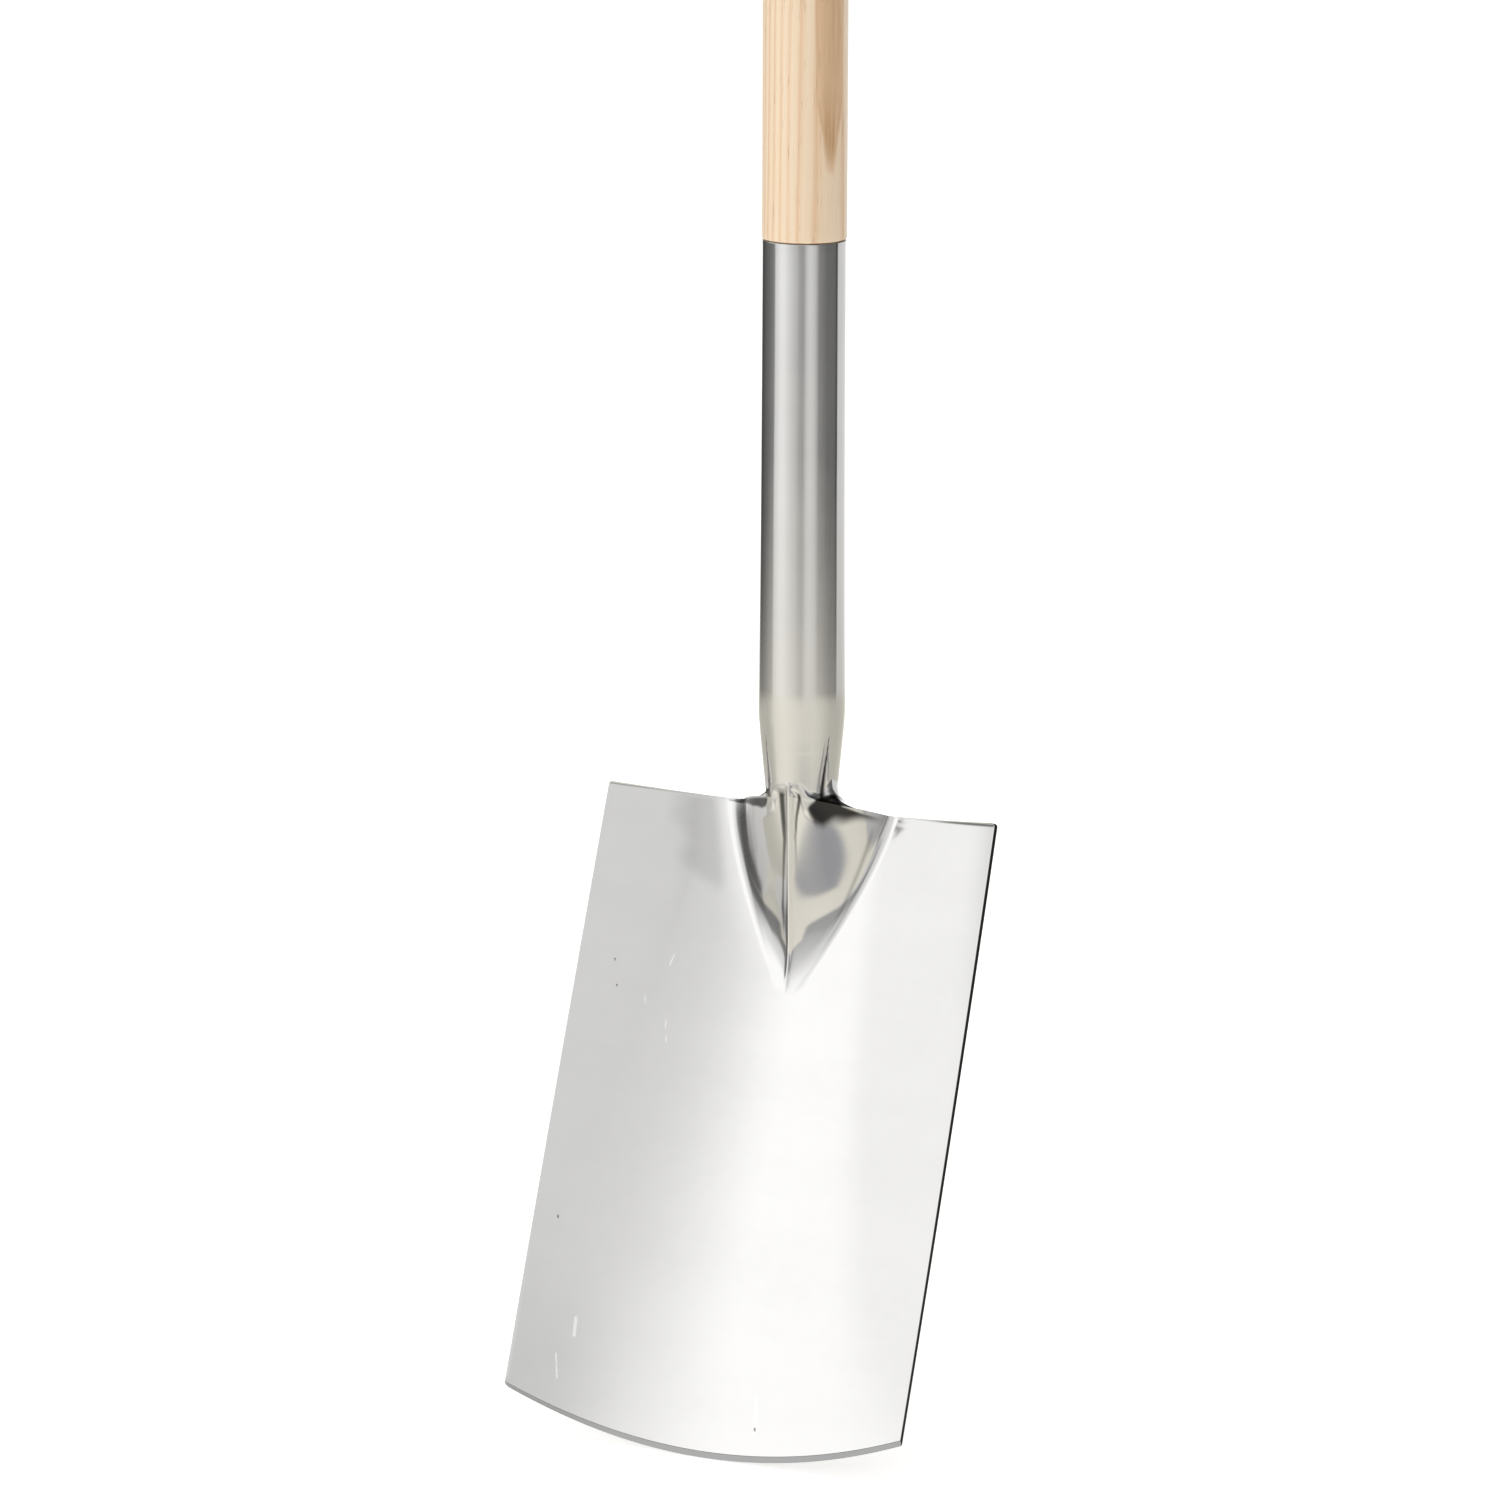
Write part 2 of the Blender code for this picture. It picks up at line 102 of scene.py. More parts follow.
def mesh_from(name, verts, faces, smooth_angle=40.0):
    mesh = bpy.data.meshes.new(name)
    mesh.from_pydata([tuple(v) for v in np.asarray(verts, float)], [], [tuple(int(i) for i in f) for f in faces])
    mesh.validate()
    bm = bmesh.new()
    bm.from_mesh(mesh)
    bmesh.ops.recalc_face_normals(bm, faces=bm.faces)
    bm.to_mesh(mesh)
    bm.free()
    mesh.shade_smooth()
    mesh.set_sharp_from_angle(angle=math.radians(smooth_angle))
    return mesh


def grid_faces(rows, cols, start=0, wrap=False, flip=False):
    """Quads of a rows x cols grid of vertices numbered row by row."""
    out = []
    last = cols if wrap else cols - 1
    for r in range(rows - 1):
        for c in range(last):
            d = (c + 1) % cols
            q = (start + r * cols + c, start + (r + 1) * cols + c, start + (r + 1) * cols + d, start + r * cols + d)
            out.append(q[::-1] if flip else q)
    return out


def fbm(points, scale, octaves=3, seed=0.0):
    """Fractal noise at points, each about -1 to 1."""
    out = np.empty(len(points))
    for i, p in enumerate(points):
        out[i] = noise.fractal(Vector((p[0] * scale + seed, p[1] * scale - seed, p[2] * scale + 2 * seed)), 0.8, 2.1, octaves)
    return out


def pos(x, width):
    return 0.5 * (x + np.sqrt(x * x + width * width))


def smax(a, b, k):
    return 0.5 * (a + b + np.sqrt((a - b) ** 2 + k * k))


def ramp_on(x, w):
    """x where it is positive and 0 where it is negative, eased over -w to w."""
    return np.where(x >= w, x, np.where(x <= -w, 0.0, (x + w) ** 2 / (4 * w)))


def meld(a, b, k):
    """The lower of two fields, with a fillet of size k where they meet."""
    f = np.maximum(k - np.abs(a - b), 0.0)
    return np.minimum(a, b) - f * f / (4 * k)


def step(x, lo, hi):
    f = np.clip((x - lo) / (hi - lo), 0.0, 1.0)
    return f * f * (3 - 2 * f)


# ------------------------------------------------------------------ blade surface
def dish(t, s):
    return (DISH_TOP * (1 - s) + DISH_BOTTOM * s) * (1 - t * t) + LONG_BOW * 4 * s * (1 - s)


def frog_parts(u, v):
    """Height and half width of the pressed ridge at v, and its flank at u, v."""
    vv = np.clip(v, 0.0, 1.0)
    height = ramp_on(35.7 * MM - 0.5000 * v, 6.5 * MM)
    half = 35.6 * MM * (1 - np.clip(vv / (86 * MM), 0.0, 1.0) ** 1.42) + 0.4 * MM
    stand = np.minimum((1.9 * np.exp(-vv / (16 * MM)) + 1.15 * np.clip(1 - vv / (80 * MM), 0, 1) + 0.05) * MM, 0.6 * height)
    # The crest wanders a little to one side at the neck and to the other at its foot.
    lean = (1.7 - 3.4 * np.clip(v / (82 * MM), -0.1, 1.0)) * MM
    across = np.abs(u - lean * np.clip(1 - np.abs(u) / half, 0, 1))
    top = height - stand
    ratio = across / half
    fade = ramp_on(1 - np.maximum(v, -6 * MM) / (43 * MM), 0.22)
    full = 9.2 * MM * 4 * np.clip(ratio * (1 - ratio), 0, 1) * fade
    groove = 1.6 * MM * 6.75 * np.clip(ratio * (1 - ratio) ** 2, 0, 1) * np.clip(top / (33 * MM), 0, 1) * (1 - fade)
    hollow = groove - full
    return height, half, stand, across, top * (1 - ratio) - 0.12 * np.maximum(across - half, 0) - hollow


def frog(u, v):
    """The pressed ridge: a narrow crest on two hollow flanks, which run out into the plate."""
    vv = np.clip(v, 0.0, 1.0)
    height, half, stand, across, flank = frog_parts(u, v)
    crest = (1.7 + 1.5 * np.exp(-vv / (15 * MM))) * (1 - 0.5 * np.clip(vv / (80 * MM), 0, 1)) * MM
    drop = np.maximum(stand + (height - stand) / half * crest, 0.06 * MM)
    ridge = np.maximum(height - drop * (across / crest) ** 2.2, -30 * MM)
    body = smax(ridge, flank, 0.35 * MM) - 2.5 * MM * step(v, 77 * MM, 92 * MM)
    beyond = np.maximum(-u - half, 0.0) / (9.5 * MM)
    skirt = 2.1 * MM * np.exp(-beyond ** 1.5) * np.clip(1 - vv / (78 * MM), 0, 1) ** 1.2 * step(-u, 0.25 * half, half)
    ease = 3.4 + 3.0 * step(-u, 0.0, 0.4 * half)
    return skirt + ramp_on(body - 0.02 * MM, (0.8 + ease * np.clip(1 - vv / (74 * MM), 0, 1)) * MM)


def crease(u, v):
    """Painted shade: where the polish is painted dark beside the crest, across the foot of the tube, and near the edges
    of the frog.
    """
    vv = np.clip(v, 0.0, 1.0)
    height, half, stand, across, flank = frog_parts(u, v)
    lean = (1.7 - 3.4 * np.clip(v / (82 * MM), -0.1, 1.0)) * MM

    def along(*pairs):
        return np.interp(vv / MM, [p[0] for p in pairs], [p[1] for p in pairs])

    away = along((0, 4.5), (11, 3.4), (18, 2.9), (36, 4.1), (45, 4.5), (56, 3.6)) * MM
    thick = along((0, 1.55), (11, 1.35), (18, 0.95), (36, 0.6), (46, 0.9), (56, 0.3)) * MM
    left = np.exp(-((across - away) / thick) ** 4) * (u < lean) * along((0, 0.95), (11, 0.92), (18, 0.8), (30, 0.66), (46, 0.72), (54, 0.4), (58, 0.0))
    away = along((0, 4.3), (8, 2.9), (16, 2.5), (30, 2.9)) * MM
    thick = along((0, 1.0), (8, 0.6), (16, 0.5), (30, 0.4)) * MM
    right = np.exp(-((across - away) / thick) ** 4) * (u > lean) * along((0, 0.95), (10, 0.85), (18, 0.5), (34, 0.0))
    foot = step(v, -2.6 * MM, -0.8 * MM)
    edge = 0.40 * np.exp(-((across - half * 0.89) / (0.62 * MM)) ** 2) * (u > 0) * step(v, 4 * MM, 12 * MM) * (1 - step(v, 40 * MM, 60 * MM))
    edge = edge + 0.32 * np.exp(-((across - half * 0.985) / (0.60 * MM)) ** 2) * (u > 0) * step(v, 8 * MM, 14 * MM) * (1 - step(v, 50 * MM, 66 * MM))
    edge = edge + 0.40 * step(across / half, 0.70 - 0.0, 0.80) * (1 - step(across / half, 0.98, 1.05)) * (u < 0) * step(v, 3 * MM, 9 * MM) * (1 - step(v, 44 * MM, 58 * MM))
    # A shadowed hollow under the right of the tube, tailing out along the top edge; and a thin one on the left.
    ragged = 0.8 * MM * np.sin(u * 520 + v * 260 + 1.2 * np.sin(u * 310))
    high = np.interp(u / MM, [9, 12, 15, 18, 22, 28, 38], [4.0, 0.6, -3.4, -4.6, 0.2, 1.6, 2.2]) * MM
    under = np.interp(u / MM, [9, 12, 15, 18, 22, 28, 38], [5.0, 9.6, 10.4, 8.2, 6.2, 4.2, 2.6]) * MM + ragged * 0.8
    hollow = step(v - high, -0.5 * MM, 0.7 * MM) * step(under - v, -2.4 * MM, 3.2 * MM) * step(u, 8.6 * MM, 10.4 * MM) * (1 - step(u, 30 * MM, 36 * MM))
    high = np.interp(u / MM, [-42, -25, -16, -10], [1.0, 1.2, 1.2, 1.4]) * MM
    under = np.interp(u / MM, [-42, -30, -20, -15, -12, -10.2], [1.2, 2.7, 4.5, 5.2, 4.6, 1.9]) * MM + ragged * 0.2
    hollow = hollow + step(v - high, -0.8 * MM, 0.0) * step(under - v, -0.4 * MM, 0.8 * MM) * (1 - step(u, -11.4 * MM, -9.8 * MM)) * (u > -42 * MM) * 0.95
    return np.clip((left + right) * foot + edge + hollow, 0, 1)


def half_width(s):
    return 0.5 * (WIDTH_TOP * (1 - s) + WIDTH_BOTTOM * s)


def from_blade(u, v, h):
    u, v, h = np.broadcast_arrays(u, v, h)
    return (CHORD + u[..., None] * ACROSS + v[..., None] * DOWN + h[..., None] * FRONT)


def front_height(u, v, t, s):
    return frog(u, v) - dish(t, s)


def front_normal(u, v):
    """Unit normal of the front face at u, v, from the height on either side."""
    def height(a, b):
        s = b / (BLADE_LENGTH + EDGE_BULGE)
        for _ in range(4):
            t = a / half_width(s)
            s = b / (BLADE_LENGTH + EDGE_BULGE * (1 - t * t))
        return front_height(a, b, t, s)
    e = 0.05 * MM
    hu = (height(u + e, v) - height(u - e, v)) / (2 * e)
    hv = (height(u, v + e) - height(u, v - e)) / (2 * e)
    n = FRONT - hu[..., None] * ACROSS - hv[..., None] * DOWN
    return n / np.linalg.norm(n, axis=-1, keepdims=True)


def edge_drop(d, r):
    """How far a surface has fallen at distance d from a rounded edge of radius r."""
    d = np.clip(d, 0.0, r)
    return r - np.sqrt(np.maximum(r * r - (r - d) ** 2, 0.0))


def painted_shade_and_patches(mesh):
    """Stores how much painted shade darkens the polish at each vertex of the frog and the neck, together with the
    darker patches.
    """
    co = np.empty(len(mesh.vertices) * 3)
    mesh.vertices.foreach_get("co", co)
    p = co.reshape(-1, 3) - ORIGIN
    d = p - CHORD
    u, v, h = d @ ACROSS, d @ DOWN, d @ FRONT
    front = h > -dish(u / half_width(0.0), 0.0 * u) - 1.0 * MM
    amount = crease(u, v) * front * (v < 90 * MM)
    # A darker, rougher patch left of the frog, streaked on its outer side; and a darker, rougher lower left corner.
    streak = np.sin(v * 330 + 1.0) * 2.0 * MM + np.sin(v * 150) * 1.5 * MM
    left = np.interp(v / MM, [0, 8.5, 25.6, 38, 46], [-71, -68, -60, -50, -40]) * MM + streak
    right = np.interp(v / MM, [0, 14.5, 38, 46], [-47.5, -43.0, -37.0, -38.0]) * MM
    patch = step(u - left, -4 * MM, 9 * MM) * step(right - u, -1.8 * MM, 4.2 * MM) * step(v, -2 * MM, 3 * MM) * (1 - step(v, 34 * MM, 46 * MM))
    low = step(-u, 35 * MM, 80 * MM) * step(v, 190 * MM, 265 * MM)
    amount = amount + front * (0.17 * patch + 0.14 * low)
    theta = np.degrees(np.arctan2(p[:, 0], -p[:, 1]))
    run = np.clip((-214 * MM - p[:, 2]) / (26 * MM), 0, 1)
    # Painted shade along the two pinch marks of the tube, where it runs onto the frog.
    for centre, weight in ((-37.0, 0.75), (63.0, 1.0)):
        amount = amount + weight * (run > 0) * step(run, 0.0, 0.10) * (v < 1 * MM) * np.exp(-((theta - centre - 5 * (1 - run)) / (0.6 + 4.2 * run ** 1.6)) ** 4)
    data = mesh.attributes.new("painted_shade_and_patches", "FLOAT", "POINT")
    data.data.foreach_set("value", np.clip(amount, 0, 1))


def blade_mesh():
    inner = np.linspace(0, 40, 81)[1:]
    outer = 40 + (93.6 - 40) * (np.arange(1, 37) / 36)
    rim = [93.86, 93.93, 94.0, 94.06, 94.11, 94.15]
    half = np.concatenate([inner, outer[:-1], rim]) / 94.15
    t = np.concatenate([-half[::-1], [0.0], half])
    total = BLADE_LENGTH + EDGE_BULGE
    top_rows = np.array([0.0, 0.04, 0.1, 0.18, 0.28, 0.4]) * MM
    mid = np.linspace(0.4, 92, 150)[1:] * MM
    low = np.linspace(92, 1000 * (total - 2.75 * MM), 120)[1:] * MM
    bevel = total - np.array([2.6, 2.45, 2.2, 1.7, 1.1, 0.5, 0.18, 0.0]) * MM
    s = np.concatenate([top_rows, mid, low, bevel]) / total
    T, S = np.meshgrid(t, s)
    hw = half_width(S)
    # Corners: rounded off a little, the lower left most of all.
    to_end = (1 - S) * total
    to_top = S * total
    r_low = np.where(T < 0, 2.6, 1.2) * MM
    shrink = r_low - np.sqrt(np.maximum(r_low ** 2 - np.clip(r_low - to_end, 0, None) ** 2, 0))
    r_top = 1.6 * MM
    shrink = shrink + (r_top - np.sqrt(np.maximum(r_top ** 2 - np.clip(r_top - to_top, 0, None) ** 2, 0)))
    # The sides bow outward by a fraction of a millimetre.
    hw = hw + 0.5 * MM * 4 * S * (1 - S)
    U = T * (hw - shrink)
    V = S * (BLADE_LENGTH + EDGE_BULGE * (1 - T * T))
    H = front_height(U, V, T, S)
    # The foot of the tube spreads over the top of the frog.
    top = (V < 30 * MM) & (np.abs(U) < 36.5 * MM)
    top &= (np.abs(U) > 4 * MM) | (V < 1 * MM)
    H[top] = np.maximum(H[top], neck_height(U[top], V[top]))
    # Slight unevenness left by pressing and hand polishing.
    wave = fbm(np.c_[(U.ravel()), V.ravel() * 0.6, np.zeros(U.size)], 18.0, 2, 3.1).reshape(U.shape)
    calm = step(V, 2 * MM, 30 * MM) * step(total - V, 3 * MM, 20 * MM)
    H = H + 0.045 * MM * wave * calm
    P = from_blade(U, V, H)
    N = front_normal(U, V)
    # Where the top edge stands under the socket it is cut square to the plane of the edge.
    flat = N - (N @ DOWN)[..., None] * DOWN
    flat /= np.linalg.norm(flat, axis=2, keepdims=True)
    w = (1 - step(V, 0.5 * MM, 6 * MM))[..., None]
    N = N * (1 - w) + flat * w
    N /= np.linalg.norm(N, axis=2, keepdims=True)
    side = (1 - np.abs(T)) * hw
    free_top = step(np.abs(U), 11 * MM, 17 * MM)
    r = 0.24 * MM
    fall = np.minimum(edge_drop(side, r) + edge_drop(to_top, 0.1 * MM) * free_top, r)
    # Ground bevel along the cutting edge, on the front.
    bevel_fall = 1.45 * MM * np.clip((2.6 * MM - (total - S * total)) / (2.6 * MM), 0, 1)
    front = P - N * (fall + bevel_fall)[..., None]
    back = P - N * (PLATE - np.minimum(fall, r))[..., None]
    rows, cols = U.shape
    n = rows * cols
    verts = np.concatenate([front.reshape(-1, 3), back.reshape(-1, 3)]) + ORIGIN
    faces = grid_faces(rows, cols) + grid_faces(rows, cols, n, flip=True)
    front_faces = (rows - 1) * (cols - 1)
    bevel_from = (rows - len(bevel)) * (cols - 1)
    slots = [2 if bevel_from <= i < front_faces else 0 for i in range(len(faces))]
    # The first row of the bevel, like the side faces below, takes the near-black edge steel: a painted dark line of
    # shade.
    for i in range(bevel_from, bevel_from + cols - 1):
        slots[i] = 1
    for c in range(cols - 1):
        faces.append((c, c + 1, n + c + 1, n + c))
        e = (rows - 1) * cols + c
        faces.append((e + 1, e, n + e, n + e + 1))
    slots += [0, 2] * (cols - 1)
    for r_ in range(rows - 1):
        a, b = r_ * cols, (r_ + 1) * cols
        faces.append((b, a, n + a, n + b))
        a, b = a + cols - 1, b + cols - 1
        faces.append((a, b, n + b, n + a))
    slots += [1] * (len(faces) - len(slots))
    mesh = mesh_from("blade_pressing", verts, faces, 58.0)
    mesh.polygons.foreach_set("material_index", slots)
    painted_shade_and_patches(mesh)
    return mesh


# ------------------------------------------------------------------ socket surface
def outer_radius(z):
    """Outer radius of the socket: a slight belly, then an eased taper to the neck."""
    z = np.asarray(z, float)
    belly = SOCKET_R + (SOCKET_BELLY_R - SOCKET_R) * np.clip(z / TAPER_Z, 0, 1) ** 1.5
    f = np.clip((TAPER_Z - z) / (TAPER_Z - NECK_Z), 0, 1)
    neck = SOCKET_BELLY_R + (NECK_R - SOCKET_BELLY_R) * (f * f * (3 - 2 * f) * 0.55 + f * 0.45)
    return np.where(z >= TAPER_Z, belly, neck)


def to_blade(p):
    d = p - CHORD
    return d @ ACROSS, d @ DOWN, d @ FRONT


def plate_dish(u, v):
    s = np.clip(v / (BLADE_LENGTH + EDGE_BULGE), 0, 1)
    t = u / half_width(s)
    return dish(t, s)


def neck_radius(z):
    """Outer radius of the tube down to its foot."""
    key = np.array([-262.0, -250.0, -240.0, -231.0, -222.0, -214.0, -207.0, -199.0]) * MM
    radius = np.array([15.0, 15.3, 15.85, 16.65, 17.5, 18.25, 18.7, 18.85]) * MM
    fine = np.linspace(key[0], key[-1], 260)
    table = np.interp(fine, key, radius)
    table = np.convolve(np.pad(table, 24, mode="edge"), np.hanning(49) / np.hanning(49).sum(), mode="valid")
    return np.where(z > -199 * MM, outer_radius(z), np.interp(z, fine, table))


def neck_field(p):
    """Negative inside the neck: the tube, run down onto the frog and welded round to it."""
    x, y, z = p[:, 0], p[:, 1], p[:, 2]
    u, v, h = to_blade(p)
    theta = np.degrees(np.arctan2(x, -y))
    radius = neck_radius(z)
    # Two pinch marks, where the tube was closed in to the width of the frog.
    run = np.clip((-214 * MM - z) / (24 * MM), 0, 1)
    for centre, depth in ((-37.0, 0.9), (63.0, 1.0)):
        radius = radius - depth * MM * run ** 1.5 * (1 - (0.75 if centre < 0 else 0.2) * step(run, 0.78, 1.0)) * np.exp(-((theta - centre - 5 * (1 - run)) / (1.8 + 6.0 * run)) ** 2)
    round_ = np.sqrt(x * x + y * y)
    dip = plate_dish(u, v)
    height, half, stand, across, flank = frog_parts(u, v)
    au = np.abs(u)
    behind = step(np.abs(theta), 80.0, 100.0)
    near = np.maximum(step(au, 3.5 * MM, 8.0 * MM), behind)
    proud = h - (flank - dip)
    tube = round_ - radius
    tube = smax(tube, (proud - 1.7 * (-1.4 * MM - v)) * 0.5, 0.8 * MM) * (1 - near) + smax(tube, v - 6 * MM, 3 * MM) * near
    face = (h - (frog(u, v) - dip)) * 0.75
    under = -(h + dip + PLATE + 3.2 * MM)
    top = -(v + 5.0 * MM * (1 - step(au, 6 * MM, 10.5 * MM)) * (1 - behind))
    body = np.maximum(np.maximum(face, under), np.maximum(top, np.abs(u) - 44 * MM))
    side = step(np.abs(theta), 58.0, 82.0) * step(-face, 0.0, 2.5 * MM)
    k = (0.9 + 3.3 * step(au, 5 * MM, 12 * MM) * (1 - side) + np.where(theta > 0, 12.5, 4.6) * side - np.where(theta > 0, 8.5, 0.6) * step(np.abs(theta), 110.0, 150.0) * side) * MM
    return meld(tube, body, k)


def neck_height(u, v):
    """Front height at u, v of the frog with the foot of the tube on it."""
    base = front_height(u, v, u / half_width(v / (BLADE_LENGTH + EDGE_BULGE)), v / (BLADE_LENGTH + EDGE_BULGE))
    lo, hi = base - 0.6 * MM, base + 14 * MM
    for _ in range(26):
        mid = 0.5 * (lo + hi)
        inside = neck_field(from_blade(u, v, mid)) < 0
        lo, hi = np.where(inside, mid, lo), np.where(inside, hi, mid)
    return 0.5 * (lo + hi)


def socket_mesh():
    seam = -210 * MM
    count = 224
    theta = np.arange(count) * math.tau / count
    c, s = np.sin(theta), -np.cos(theta)
    bm = bmesh.new()

    def ring(r, z):
        return [bm.verts.new((r * a, r * b, z)) for a, b in zip(c, s)]

    def skin(rings):
        for one, two in zip(rings, rings[1:]):
            for i in range(count):
                j = (i + 1) % count
                bm.faces.new((one[i], two[i], two[j], one[j]))

    verts, quads = surface_net(neck_field, (-41 * MM, -19 * MM, -258 * MM), (41 * MM, 27 * MM, seam + 2 * MM), 0.6 * MM)
    vs = [bm.verts.new(tuple(p)) for p in verts]
    for q in quads:
        if len(set(q)) == 4 and min(q) >= 0:
            bm.faces.new([vs[i] for i in q])
    everything = bm.verts[:] + bm.edges[:] + bm.faces[:]
    bmesh.ops.bisect_plane(bm, geom=everything, plane_co=(0, 0, seam), plane_no=(0, 0, 1), clear_outer=True, dist=1e-6)
    everything = bm.verts[:] + bm.edges[:] + bm.faces[:]
    bmesh.ops.bisect_plane(bm, geom=everything, plane_co=tuple(CHORD), plane_no=tuple(DOWN), clear_outer=True, dist=1e-6)
    foot = [e for e in bm.edges if e.is_boundary and all(abs((np.array(v.co) - CHORD) @ DOWN) < 1e-5 for v in e.verts)]
    bmesh.ops.holes_fill(bm, edges=foot, sides=0)
    edge = [e for e in bm.edges if e.is_boundary and all(abs(v.co.z - seam) < 1e-5 for v in e.verts)]
    zs = [-0.35 * MM] + list(np.linspace(-3, 1000 * seam, 84) * MM)
    lip = [ring(SOCKET_R - cut * MM, z * MM) for z, cut in ((0.0, 0.42), (-0.03, 0.24), (-0.1, 0.1), (-0.2, 0.03))]
    wall = lip + [ring(float(neck_radius(np.array(z))), z) for z in zs]
    skin(wall)
    bore = [lip[0]]
    for z, r in ((0.0, SOCKET_R - WALL + 0.25 * MM), (-0.3 * MM, SOCKET_R - WALL), (-120 * MM, SOCKET_R - WALL + 0.1 * MM),
                 (-199 * MM, SOCKET_BELLY_R - WALL), (-215 * MM, 15.3 * MM), (-228 * MM, 12.6 * MM), (-232 * MM, 9.0 * MM)):
        bore.append(ring(r, z))
    skin(bore)
    bm.faces.new(bore[-1])
    last = set(wall[-1])
    edge += [e for e in bm.edges if e.is_boundary and e.verts[0] in last and e.verts[1] in last]
    bmesh.ops.bridge_loops(bm, edges=edge)
    bmesh.ops.recalc_face_normals(bm, faces=bm.faces)
    # Waviness of the drawn tube, and the uneven seam ground over where it meets the frog.
    flat = np.array([v.co for v in bm.verts])
    radial = flat * np.array([1.0, 1.0, 0.0])
    reach = np.linalg.norm(radial, axis=1)
    radial /= np.maximum(reach, 1e-9)[:, None]
    outside = reach > SOCKET_R - 0.8 * MM
    wave = fbm(flat * np.array([1, 1, 0.18]), 60.0, 2, 7.7)
    rough = fbm(flat, 330.0, 3, 1.3)
    along = (flat - CHORD) @ DOWN
    near = np.exp(-((along + 3.0 * MM) / (2.0 * MM)) ** 2) * np.clip(-radial[:, 1], 0, 1) ** 2
    amount = 0.03 * MM * wave * step(-flat[:, 2], 0.5 * MM, 15 * MM) * outside * step(-along, 8 * MM, 20 * MM)
    amount = amount + 0.035 * MM * rough * near * (flat[:, 2] < seam)
    flat = flat + radial * amount[:, None] + ORIGIN
    for v, co in zip(bm.verts, flat):
        v.co = co
    mesh = bpy.data.meshes.new("socket_tube")
    bm.to_mesh(mesh)
    bm.free()
    mesh.shade_smooth()
    mesh.set_sharp_from_angle(angle=math.radians(50))
    painted_shade_and_patches(mesh)
    return mesh


# ------------------------------------------------------------------ closing plate
def cover_mesh():
    length = 96 * MM
    rows, cols = 90, 81
    outer, inner = [], []
    for k in range(rows):
        f = k / (rows - 1)
        v = length * (1 - (1 - f) ** 1.3)
        fall = max(34.6 * MM - 0.487 * v, 0.0)
        base = fall / max(0.97 - 7.5 * v, 0.2) + 5 * MM
        nose = max(1 - (v / length) ** 3, 0.0)
        width = max(base * math.sqrt(nose), 1.2 * MM)
        x = np.linspace(-1, 1, cols)
        x = np.sign(x) * (1 - (1 - np.abs(x)) ** 1.6)
        u = x * width
        s = v / (BLADE_LENGTH + EDGE_BULGE)
        t = u / half_width(s)
        gap = frog(np.sign(u + 1e-9) * np.maximum(np.abs(u), width + 6 * MM), np.full(cols, v))
        base_h = -dish(t, s) - PLATE * 1.03
        side = (1 - np.abs(x)) * width
        end = (length - v)
        lift = 1.85 * MM * (1 - np.clip(1 - np.minimum(side, end) / (2.4 * MM), 0, 1) ** 2.4)
        crown = 1.5 * MM * (1 - x ** 2) ** 1.5 * (1 - v / length) * step(np.array(v), 0.0, 12 * MM)
        outer.append(from_blade(u, np.full(cols, v), base_h - lift - crown))
        inner.append(from_blade(u, np.full(cols, v), base_h + 0.02 * MM))
    outer, inner = np.array(outer), np.array(inner)
    n = rows * cols
    verts = np.concatenate([outer.reshape(-1, 3), inner.reshape(-1, 3)]) + ORIGIN
    faces = grid_faces(rows, cols, 0, flip=True) + grid_faces(rows, cols, n)
    for c in range(cols - 1):
        faces.append((c + 1, c, n + c, n + c + 1))
        e = (rows - 1) * cols + c
        faces.append((e, e + 1, n + e + 1, n + e))
    for r in range(rows - 1):
        a, b = r * cols, (r + 1) * cols
        faces.append((a, b, n + b, n + a))
        a, b = a + cols - 1, b + cols - 1
        faces.append((b, a, n + a, n + b))
    return mesh_from("closing_plate", verts, faces, 50.0)


# ------------------------------------------------------------------ wood
def arm_x(z):
    f = np.clip((z - SPLIT_Z) / (SPREAD_Z - SPLIT_Z), 0.0, 1.0)
    return ARM_X0 + (ARM_X1 - ARM_X0) * f ** 3 * (f * (6 * f - 15) + 10)


def handle_field(p):
    """Negative inside the wood: the round shaft, and the two arms split out of its upper end."""
    x, y, z = np.abs(p[:, 0]), p[:, 1], p[:, 2]
    pole = np.sqrt(x * x + y * y) - SHAFT_R
    crown = z - (350 * MM - 0.055 * x - 6.0 * y * y)
    pole = smax(pole, crown, 5 * MM)
    cx = arm_x(z)
    slope = (arm_x(z + 0.5 * MM) - arm_x(z - 0.5 * MM)) / MM
    dx = (x - cx) / np.sqrt(1 + slope * slope)
    over = np.maximum(z - GRIP_Z, 0.0)
    dy = np.sqrt(y * y + over * over)
    blend = np.clip((z - 300 * MM) / (SPREAD_Z - 300 * MM), 0, 1)
    hw = ARM_HALF_W * (0.80 + 0.20 * np.minimum(blend * 2.4, 1.0))
    hd = 15.6 * MM + (ARM_HALF_D - 15.6 * MM) * blend
    power = np.where(dx > 0, 2.5, 3.4)
    q = (np.abs(dx) / hw) ** power + (dy / hd) ** power
    arm = (q ** (1 / power) - 1) * hw
    arm = smax(arm, (296 * MM - z), 2 * MM)
    k = 0.3 * MM + 4.7 * MM * step(z, 306 * MM, 356 * MM)
    return -smax(-pole, -arm, k)


